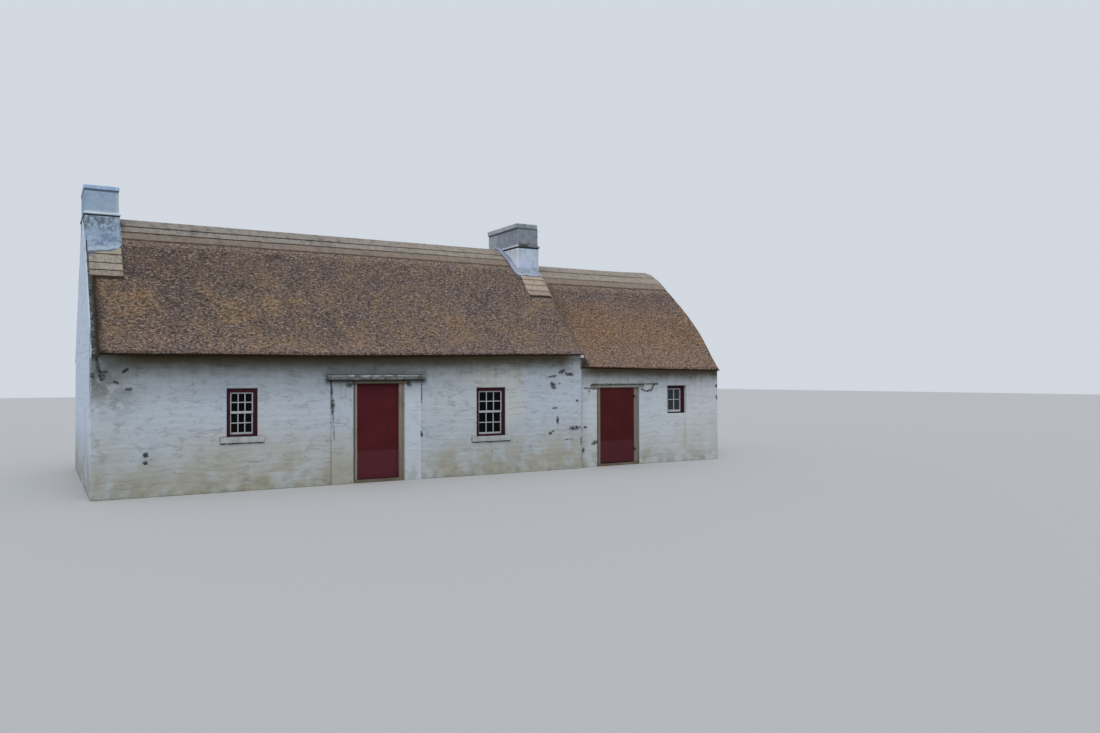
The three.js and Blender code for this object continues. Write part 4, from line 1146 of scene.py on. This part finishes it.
def window_holes(name, segment, start_x, direction):
    """The hole round a window's frame and the one for its sill, measured along a wall."""
    x0, x1, _, _, z0, z1 = WINDOWS[name]
    if name == "small_window":
        spans = [(x0, x1, z0, z1, SMALL_REVEAL)]
    else:
        sx0, sx1, _, _, sz0, _ = node_box(f"{name}_sill")
        spans = [(x0, x1, z0, z1, REVEAL), (sx0, sx1, sz0, z0, EDGE_REVEAL)]
    holes = []
    for a, b, low, high, reveal in spans:
        along = sorted([(a - start_x) * direction, (b - start_x) * direction])
        holes.append((segment, *along, low, high, reveal))
    return holes


SURROUND = node_box("main_door_surround")
SLAB_BOTTOM = 1.973
PANELS = (4.15, 6.03)
SIDE_DOOR = node_box("extension_door_frame")
MAIN_TOP = 2.44 + WALL_OVERLAP  # from the eave's height
SIDE_TOP = 2.19 + WALL_OVERLAP
TURN_Y = 0.30  # where the front wall's skin meets the gable's

back_corners = [(MAIN_LENGTH, DEPTH - SETBACK), (MAIN_LENGTH, DEPTH), (0, DEPTH), (0, TURN_Y)]
front_corners = [(0, TURN_Y), (0, 0), (MAIN_LENGTH, 0), (MAIN_LENGTH, SETBACK)]
front_holes = [
    *window_holes("left_window", 1, 0, 1),
    *window_holes("right_window", 1, 0, 1),
    (1, *PANELS, GROUND, SLAB_BOTTOM, EDGE_REVEAL),
    (1, *SURROUND[:2], SLAB_BOTTOM, SURROUND[5], EDGE_REVEAL),
]


def left_gable_z(y):
    return roof_z(MAIN_ROOF, y) + 0.012


wall_skin("main_side_and_back_walls", back_corners, MAIN_TOP, 5,
          window_holes("back_window", 1, MAIN_LENGTH, -1), gable=(2, left_gable_z))
wall_skin("main_front_wall", front_corners, MAIN_TOP, 5, front_holes, gable=(0, left_gable_z),
          travelled=SETBACK + MAIN_LENGTH + DEPTH - TURN_Y, step=(0.03, 0.02))

side_corners = [(MAIN_LENGTH, SETBACK), (LENGTH, SETBACK), (LENGTH, DEPTH - SETBACK),
                (MAIN_LENGTH, DEPTH - SETBACK)]
side_holes = [
    *window_holes("small_window", 0, MAIN_LENGTH, 1),
    (0, SIDE_DOOR[0] - 0.01 - MAIN_LENGTH, SIDE_DOOR[1] + 0.01 - MAIN_LENGTH, GROUND, SIDE_DOOR[5], 0.05),
]
wall_skin("extension_walls", side_corners, SIDE_TOP, 41, side_holes,
          gable=(1, lambda y: roof_z(SIDE_ROOF, y) - THATCH_DROP), step=(0.034, 0.022))

# The raised edge of the left gable
NOSE = [(-0.112, 0.105), (-0.122, 0.075), (-0.120, 0.035)]  # round its lower end: y, and the fall
coping_y = np.concatenate([[y for y, _ in NOSE], stops(-0.105, RIDGE_Y, 0.04)])
nose_fall = np.concatenate([[fall for _, fall in NOSE], np.zeros(len(coping_y) - len(NOSE))])
coping_rows = []
for edge_x, drop in ((-0.008, 0.09), (-0.009, 0.03), (-0.004, 0.004), (0.02, -0.012), (0.05, -0.017),
                     (0.08, -0.016), (0.112, -0.012), (0.122, 0.05)):
    spread = 0.007 * rough(coping_y, np.full(coping_y.shape, edge_x * 30), 0.16, 71)
    coping_z = roof_z(MAIN_ROOF, coping_y) - np.where(nose_fall > 0, nose_fall, drop) + spread
    coping_rows.append(np.stack([edge_x + spread * 0.5, coping_y, coping_z], 1))
coping_front = np.concatenate(coping_rows)
coping_faces = grid(len(coping_rows), len(coping_y))
piece("left_gable_coping", np.concatenate([coping_front, mirrored(coping_front)]),
      np.concatenate([coping_faces, coping_faces + len(coping_front)]), COPING)

# Chimneys: the lower stack, its front and back at the drip course, and the upper stack. The aprons'
# straw lies on the thatch before and behind them.
CHIMNEYS = {
    "left_chimney": {
        "lower": (0, 0.625, 2.15, 4.236),
        "lean": (2.475, 3.9),
        "upper": (0, 0.61, 2.48, 3.715),
        "course_z": 5.305,
        "top_z": 5.755,
        "cap_z": 5.835,
        "cap_plan": (-0.014, 0.624, 2.465, 3.73),
        "apron_x": (0.045, 0.61),
        "apron": (1.385, 1.487, 1.62, 1.785, 1.93),
        "back_apron": (1.38, 1.50, 1.67, 1.80, 1.93),
        "straw": LEFT_APRON,
        "plaster": LEFT_PLASTER,
        "cap": LEFT_CAP,
    },
    "middle_chimney": {
        "lower": (9.45, 10.06, 2.09, 3.70),
        "lean": (2.09, 3.70),
        "upper": (9.45, 10.035, 2.095, 3.69),
        "course_z": 5.297,
        "top_z": 5.725,
        "cap_z": 5.838,
        "cap_plan": (9.42, 10.025, 2.09, 3.705),
        "apron_x": (9.42, 10.10),
        "apron": (1.447, 1.552, 1.683, 1.80, 1.93),
        "back_apron": (1.88, 2.00, 2.16, 2.30, 2.44),
        "straw": MIDDLE_APRON,
        "plaster": MIDDLE_PLASTER,
        "cap": MIDDLE_CAP,
    },
}
for index, (chimney_name, spec) in enumerate(CHIMNEYS.items()):
    chimney(chimney_name, spec, 100 + 7 * index)
    for side, edges in (("front", spec["apron"]), ("back", spec["back_apron"])):
        straw_bands(f"{chimney_name}_{side}_apron_straw", *spec["apron_x"], edges, spec["straw"], 57 + index,
                    [f"{chimney_name}_{side}_apron"], side, thick=0.024)

# Mortar where the chimneys meet the thatch: along the front with its corners, then behind
flashing("left_chimney_front_flashing", LEFT_MORTAR,
         [(0.03, 2.15), (0.20, 2.15), (0.366, 2.15), (0.50, 2.15), (0.60, 2.15), (0.625, 2.18), (0.625, 2.30),
          (0.625, 2.70), (0.625, 3.1)],
         [(0.03, 1.755, 0.062), (0.20, 1.775, 0.062), (0.366, 1.805, 0.062), (0.50, 1.855, 0.06),
          (0.585, 1.94, 0.035), (0.635, 2.07, 0.0), (0.65, 2.30, 0.01), (0.65, 2.70, 0.05),
          (0.648, 3.1, 0.07)], 83)
flashing("left_chimney_back_flashing", LEFT_MORTAR,
         [(0.03, 1.97), (0.30, 1.97), (0.60, 1.97), (0.625, 2.00), (0.625, 2.30), (0.625, 2.70),
          (0.625, 3.1)],
         [(0.03, 1.85, 0.05), (0.30, 1.86, 0.05), (0.62, 1.88, 0.04), (0.68, 1.97, 0.0),
          (0.685, 2.30, 0.01), (0.67, 2.70, 0.05), (0.655, 3.1, 0.07)], 84, back=True)
flashing("middle_chimney_front_flashing", MIDDLE_MORTAR,
         [(9.45, 3.1), (9.45, 2.70), (9.45, 2.30), (9.45, 2.15), (9.45, 2.12), (9.52, 2.09), (9.75, 2.09),
          (10.0, 2.09), (10.06, 2.11), (10.06, 2.30), (10.06, 2.70), (10.06, 3.1)],
         [(9.34, 3.1, 0.07), (9.325, 2.70, 0.05), (9.32, 2.30, 0.01), (9.335, 2.05, 0.0), (9.36, 1.95, 0.02),
          (9.43, 1.88, 0.066), (9.75, 1.875, 0.066), (10.06, 1.88, 0.06), (10.12, 2.00, 0.02),
          (10.12, 2.30, 0.04), (10.11, 2.70, 0.06), (10.10, 3.1, 0.07)], 85)
flashing("middle_chimney_back_flashing", MIDDLE_MORTAR,
         [(9.45, 3.1), (9.45, 2.53), (9.52, 2.506), (10.0, 2.506), (10.06, 2.53), (10.06, 3.1)],
         [(9.40, 3.1, 0.07), (9.38, 2.48, 0.02), (9.45, 2.38, 0.05), (10.04, 2.38, 0.05),
          (10.12, 2.48, 0.04), (10.11, 3.1, 0.07)], 86, back=True)

# Thatch, and the straw along both ridges
for side, back in (("front", False), ("back", True)):
    for part, *ends in (("main", THATCH_LEFT, THATCH_SEAM), ("extension", THATCH_SEAM, THATCH_RIGHT)):
        thatch_half(f"{part}_thatch_{side}_reed", *ends, back, [f"{part}_thatch_{side}"])
straw_bands("main_ridge_straw", 0.635, 9.448, (*MAIN_BANDS, RIDGE_Y), RIDGE_STRAW, 13, ["main_ridge_cap"],
            "both", thick=0.026)
straw_bands("extension_ridge_straw", 10.08, 14.13, (*SIDE_BANDS, RIDGE_Y), RIDGE_STRAW, 19,
            ["extension_ridge_cap"], "both", thick=0.027, rise=lambda x: 0.02 * smooth(x, 13.0, 14.1))

# Door surround, frames and leaves
blocks("main_door_panels",
       [(*ends, -0.026, -0.001, GROUND, 1.975) for ends in ((PANELS[0], 4.578), (5.662, PANELS[1]))],
       LIMEWASH, ["main_door_surround"], bevel=0.007, fine=0.03, relief=0.004, seed=7,
       marks=wall_marks)
blocks("main_door_lintel", [(*SURROUND[:3], -0.001, SLAB_BOTTOM + 0.002, SURROUND[5] - 0.004)], SLAB,
       bevel=0.012, fine=0.022, relief=0.008, seed=9)
blocks("main_door_head_board", [(4.49, 5.72, -0.030, 0.028, 1.908, 1.944)], JAMB_WOOD,
       fine=0.04, relief=0.002, seed=21)
blocks("extension_door_lintel", [(10.25, 11.80, 0.052, 0.098, 1.772, 1.840)], LINTEL_STONE,
       bevel=0.008, fine=0.03, relief=0.004, seed=23)
# The stone that shows at the corner of the main wall, under the end of the thatch
blocks("eave_corner_stone", [(9.912, 9.982, -0.082, 0.03, 2.458, 2.518)], LIMEWASH, bevel=0.012,
       fine=0.02, relief=0.006, seed=27)

LEAF_GAP = 0.005
BOARD = 0.028  # thickness of a leaf's boards
LEDGE_INSET = 0.03
LEDGE = (-0.045, 0.08)  # a ledge's edges, from its rise
STRAP = 0.52  # length of a hinge's strap on the leaf
PLATE = 0.055  # length of its plate on the frame
HINGE_RISE = (0.3, 1.55)
LEDGE_RISE = (0.3, 0.93, 1.55)
SLIT = 0.0004  # off each edge of a leaf's boards
PLANKS = 5
KNUCKLE = 0.03  # a knuckle's height
KNUCKLE_RADIUS = 0.011


def door(name, opening, head_z, faces, leaf, hinge, way, paint, strap_look):
    """A plank door in its frame.

    Opening is x0, x1; faces are the frame's y0, y1; leaf is y0, y1, z0, z1; hinge is x, y. The leaf
    runs to the right of its hinge where way is 1, and to the left where it is -1.
    """
    fx0, fx1, _, _, foot_z, top_z = node_box(f"{name}_frame")
    x0, x1 = opening
    hinge_x, hinge_y = hinge
    outer, inner, z0, z1 = leaf
    plate = sorted([hinge_y - way * 0.013, hinge_y - way * 0.006])
    plates, knuckles, straps, eyes = [], [], [], []
    for z in (z0 + rise for rise in HINGE_RISE):
        straps.append((*sorted([hinge_x, hinge_x + way * STRAP]), *plate, z, z + KNUCKLE))
        plates.append((*sorted([hinge_x, hinge_x - way * PLATE]), *plate, z - KNUCKLE, z))
        eyes.append((hinge_x, hinge_y, z, z + KNUCKLE, KNUCKLE_RADIUS))
        knuckles.append((hinge_x, hinge_y, z - KNUCKLE, z, KNUCKLE_RADIUS))
    bars = [
        (fx0, x0, *faces, foot_z, top_z),
        (x1, fx1, *faces, foot_z, top_z),
        (x0, x1, *faces, head_z, top_z),
    ]
    blocks(f"{name}_posts", bars, JAMB_WOOD, [f"{name}_frame"], bevel=0.006)
    blocks(f"{name}_hinge_plates", plates, IRON, rods=knuckles, bevel=0.001)
    leaf_x0, leaf_x1 = x0 + LEAF_GAP, x1 - LEAF_GAP
    wide = (leaf_x1 - leaf_x0) / PLANKS
    boards = [(leaf_x0 + wide * i + SLIT, leaf_x0 + wide * (i + 1) - SLIT, outer, outer + BOARD, z0, z1)
              for i in range(PLANKS)]
    across = (leaf_x0 + LEDGE_INSET, leaf_x1 - LEDGE_INSET, outer + BOARD - 0.001, inner)
    ledges = [(*across, *(z0 + rise + edge for edge in LEDGE)) for rise in LEDGE_RISE]
    blocks(f"{name}_boards", boards + ledges, paint, [f"{name}_leaf"], bevel=0.0015, body=name)
    blocks(f"{name}_straps", straps, strap_look, rods=eyes, bevel=0.001, body=name)


door("main_door", (4.685, 5.565), 1.905, (0.03, 0.13), (0.085, 0.13, 0.0, 1.9), (4.6875, 0.142), 1,
     DOOR_PAINT, IRON)
door("extension_door", (10.553, 11.525), 1.76, (0.101, 0.201), (0.101, 0.146, 0.01, 1.755),
     (11.5225, 0.089), -1, SIDE_PAINT, SIDE_PAINT)


# Windows

BAR = 0.018
STILE = 0.023
BOTTOM_RAIL = 0.037
MEETING_RAIL = 0.043
MEETING_RISE = 0.018  # of the meeting rail's middle above the sashes' middle


def sash(name, outside_first):
    """Two sliding sashes of six panes, or one of four, in the place of the solid's sash."""
    x0, x1, y0, y1, z0, z1 = node_box(f"{name}_sash")
    middle, half = (z0 + z1) / 2 + MEETING_RISE, (y0 + y1) / 2
    if name == "small_window":
        lights = [(z0, z1, y0, y1, BOTTOM_RAIL * 1.5, STILE, 2)]
    else:
        outer, inner = ((y0, half), (half, y1)) if outside_first else ((half, y1), (y0, half))
        lights = [
            (middle - MEETING_RAIL / 2, z1, *outer, MEETING_RAIL, STILE, 3),
            (z0, middle + MEETING_RAIL / 2, *inner, BOTTOM_RAIL, MEETING_RAIL, 3),
        ]
    bars = []
    for low, high, near, far, foot, head, columns in lights:
        left, right = x0 + STILE, x1 - STILE
        bars.append((x0, left, near, far, low, high))
        bars.append((right, x1, near, far, low, high))
        bars.append((left, right, near, far, low, low + foot))
        bars.append((left, right, near, far, high - head, high))
        for i in range(1, columns):
            x = left + (right - left) * i / columns
            bars.append((x - BAR / 2, x + BAR / 2, near + 0.001, far - 0.001, low + foot, high - head))
        z = (low + foot + high - head) / 2
        bars.append((left, right, near + 0.002, far - 0.002, z - BAR / 2, z + BAR / 2))
    blocks(f"{name}_sash_bars", bars, WHITE_PAINT, [f"{name}_sash"], bevel=0.003)


for window_name, (x0, x1, y0, y1, z0, z1) in WINDOWS.items():
    sx0, sx1, _, _, sz0, sz1 = node_box(f"{window_name}_sash")
    bars = [
        (x0, sx0, y0, y1, z0, z1),
        (sx1, x1, y0, y1, z0, z1),
        (sx0, sx1, y0, y1, sz1, z1),
        (sx0, sx1, y0, y1, z0, sz0),
    ]
    blocks(f"{window_name}_surround", bars, RED_PAINT, [f"{window_name}_frame"], bevel=0.005)
    sash(window_name, window_name != "back_window")
    pane = PALE_GLASS if window_name == "small_window" else GLASS
    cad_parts[f"{window_name}_glass"].data.materials[0] = pane
    if window_name != "small_window":
        blocks(f"{window_name}_sill_stone", [node_box(f"{window_name}_sill")], SILL_STONE,
               [f"{window_name}_sill"], bevel=0.012, fine=0.035, relief=0.004, seed=int(x0 * 10))

# Solids that keep their shape
for node_name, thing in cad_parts.items():
    if node_name.endswith("_wall") or "_wall_" in node_name:
        thing.data.materials[0] = LIMEWASH
    if node_name.endswith("_floor"):
        thing.data.materials[0] = CLAY
    if node_name.endswith("_pole"):
        thing.data.materials[0] = TIMBER

# Floor, light and camera


def stage():
    """A plain pale floor, soft light from the sky and one broad lamp."""
    mesh = bpy.data.meshes.new("floor")
    half = 90.0
    corners = [(-half, -half, 0), (half, -half, 0), (half, half, 0), (-half, half, 0)]
    mesh.from_pydata(corners, [], [(0, 1, 2, 3)])
    floor = bpy.data.objects.new("floor", mesh)
    floor.location.z = -0.001
    bpy.context.scene.collection.objects.link(floor)
    ground = bpy.data.materials.new("pale_floor")
    ground.use_nodes = True
    paint = ground.node_tree.nodes["Principled BSDF"].inputs
    paint["Base Color"].default_value = (0.5, 0.5, 0.5, 1)
    paint["Roughness"].default_value = 0.9
    mesh.materials.append(ground)
    world = bpy.data.worlds.new("soft_sky")
    world.use_nodes = True
    sky = world.node_tree.nodes["Background"].inputs
    sky["Color"].default_value = (0.86, 0.92, 1.0, 1)
    sky["Strength"].default_value = 0.75
    bpy.context.scene.world = world
    lamp = bpy.data.lights.new("soft_key", "SUN")
    lamp.energy = 1.1
    lamp.angle = math.radians(60)
    lamp.color = (1.0, 0.98, 0.95)
    key = bpy.data.objects.new("soft_key", lamp)
    key.rotation_euler = (math.radians(42), 0, math.radians(-18))
    bpy.context.scene.collection.objects.link(key)


def camera():
    """The photograph's camera: yaw is towards +X from straight at the front wall."""
    yaw, pitch, roll = (math.radians(v) for v in (CAMERA_YAW, CAMERA_PITCH, CAMERA_ROLL))
    ahead = Vector((math.sin(yaw) * math.cos(pitch), math.cos(yaw) * math.cos(pitch), math.sin(pitch)))
    right = Vector((math.cos(yaw), -math.sin(yaw), 0))
    up = right.cross(ahead)
    across = right * math.cos(roll) + up * math.sin(roll)
    upward = up * math.cos(roll) - right * math.sin(roll)
    data = bpy.data.cameras.new("camera")
    data.sensor_width = SENSOR
    data.lens = FOCAL_PIXELS / PHOTO_WIDTH * SENSOR
    data.clip_end = 500
    view = bpy.data.objects.new("camera", data)
    turn = Matrix((across, upward, -ahead)).transposed().to_4x4()
    view.matrix_world = Matrix.Translation(Vector(CAMERA_AT - ORIGIN)) @ turn
    bpy.context.scene.collection.objects.link(view)
    bpy.context.scene.camera = view


stage()
camera()
bpy.context.scene.view_settings.view_transform = "Standard"
bpy.context.scene.view_settings.look = "None"
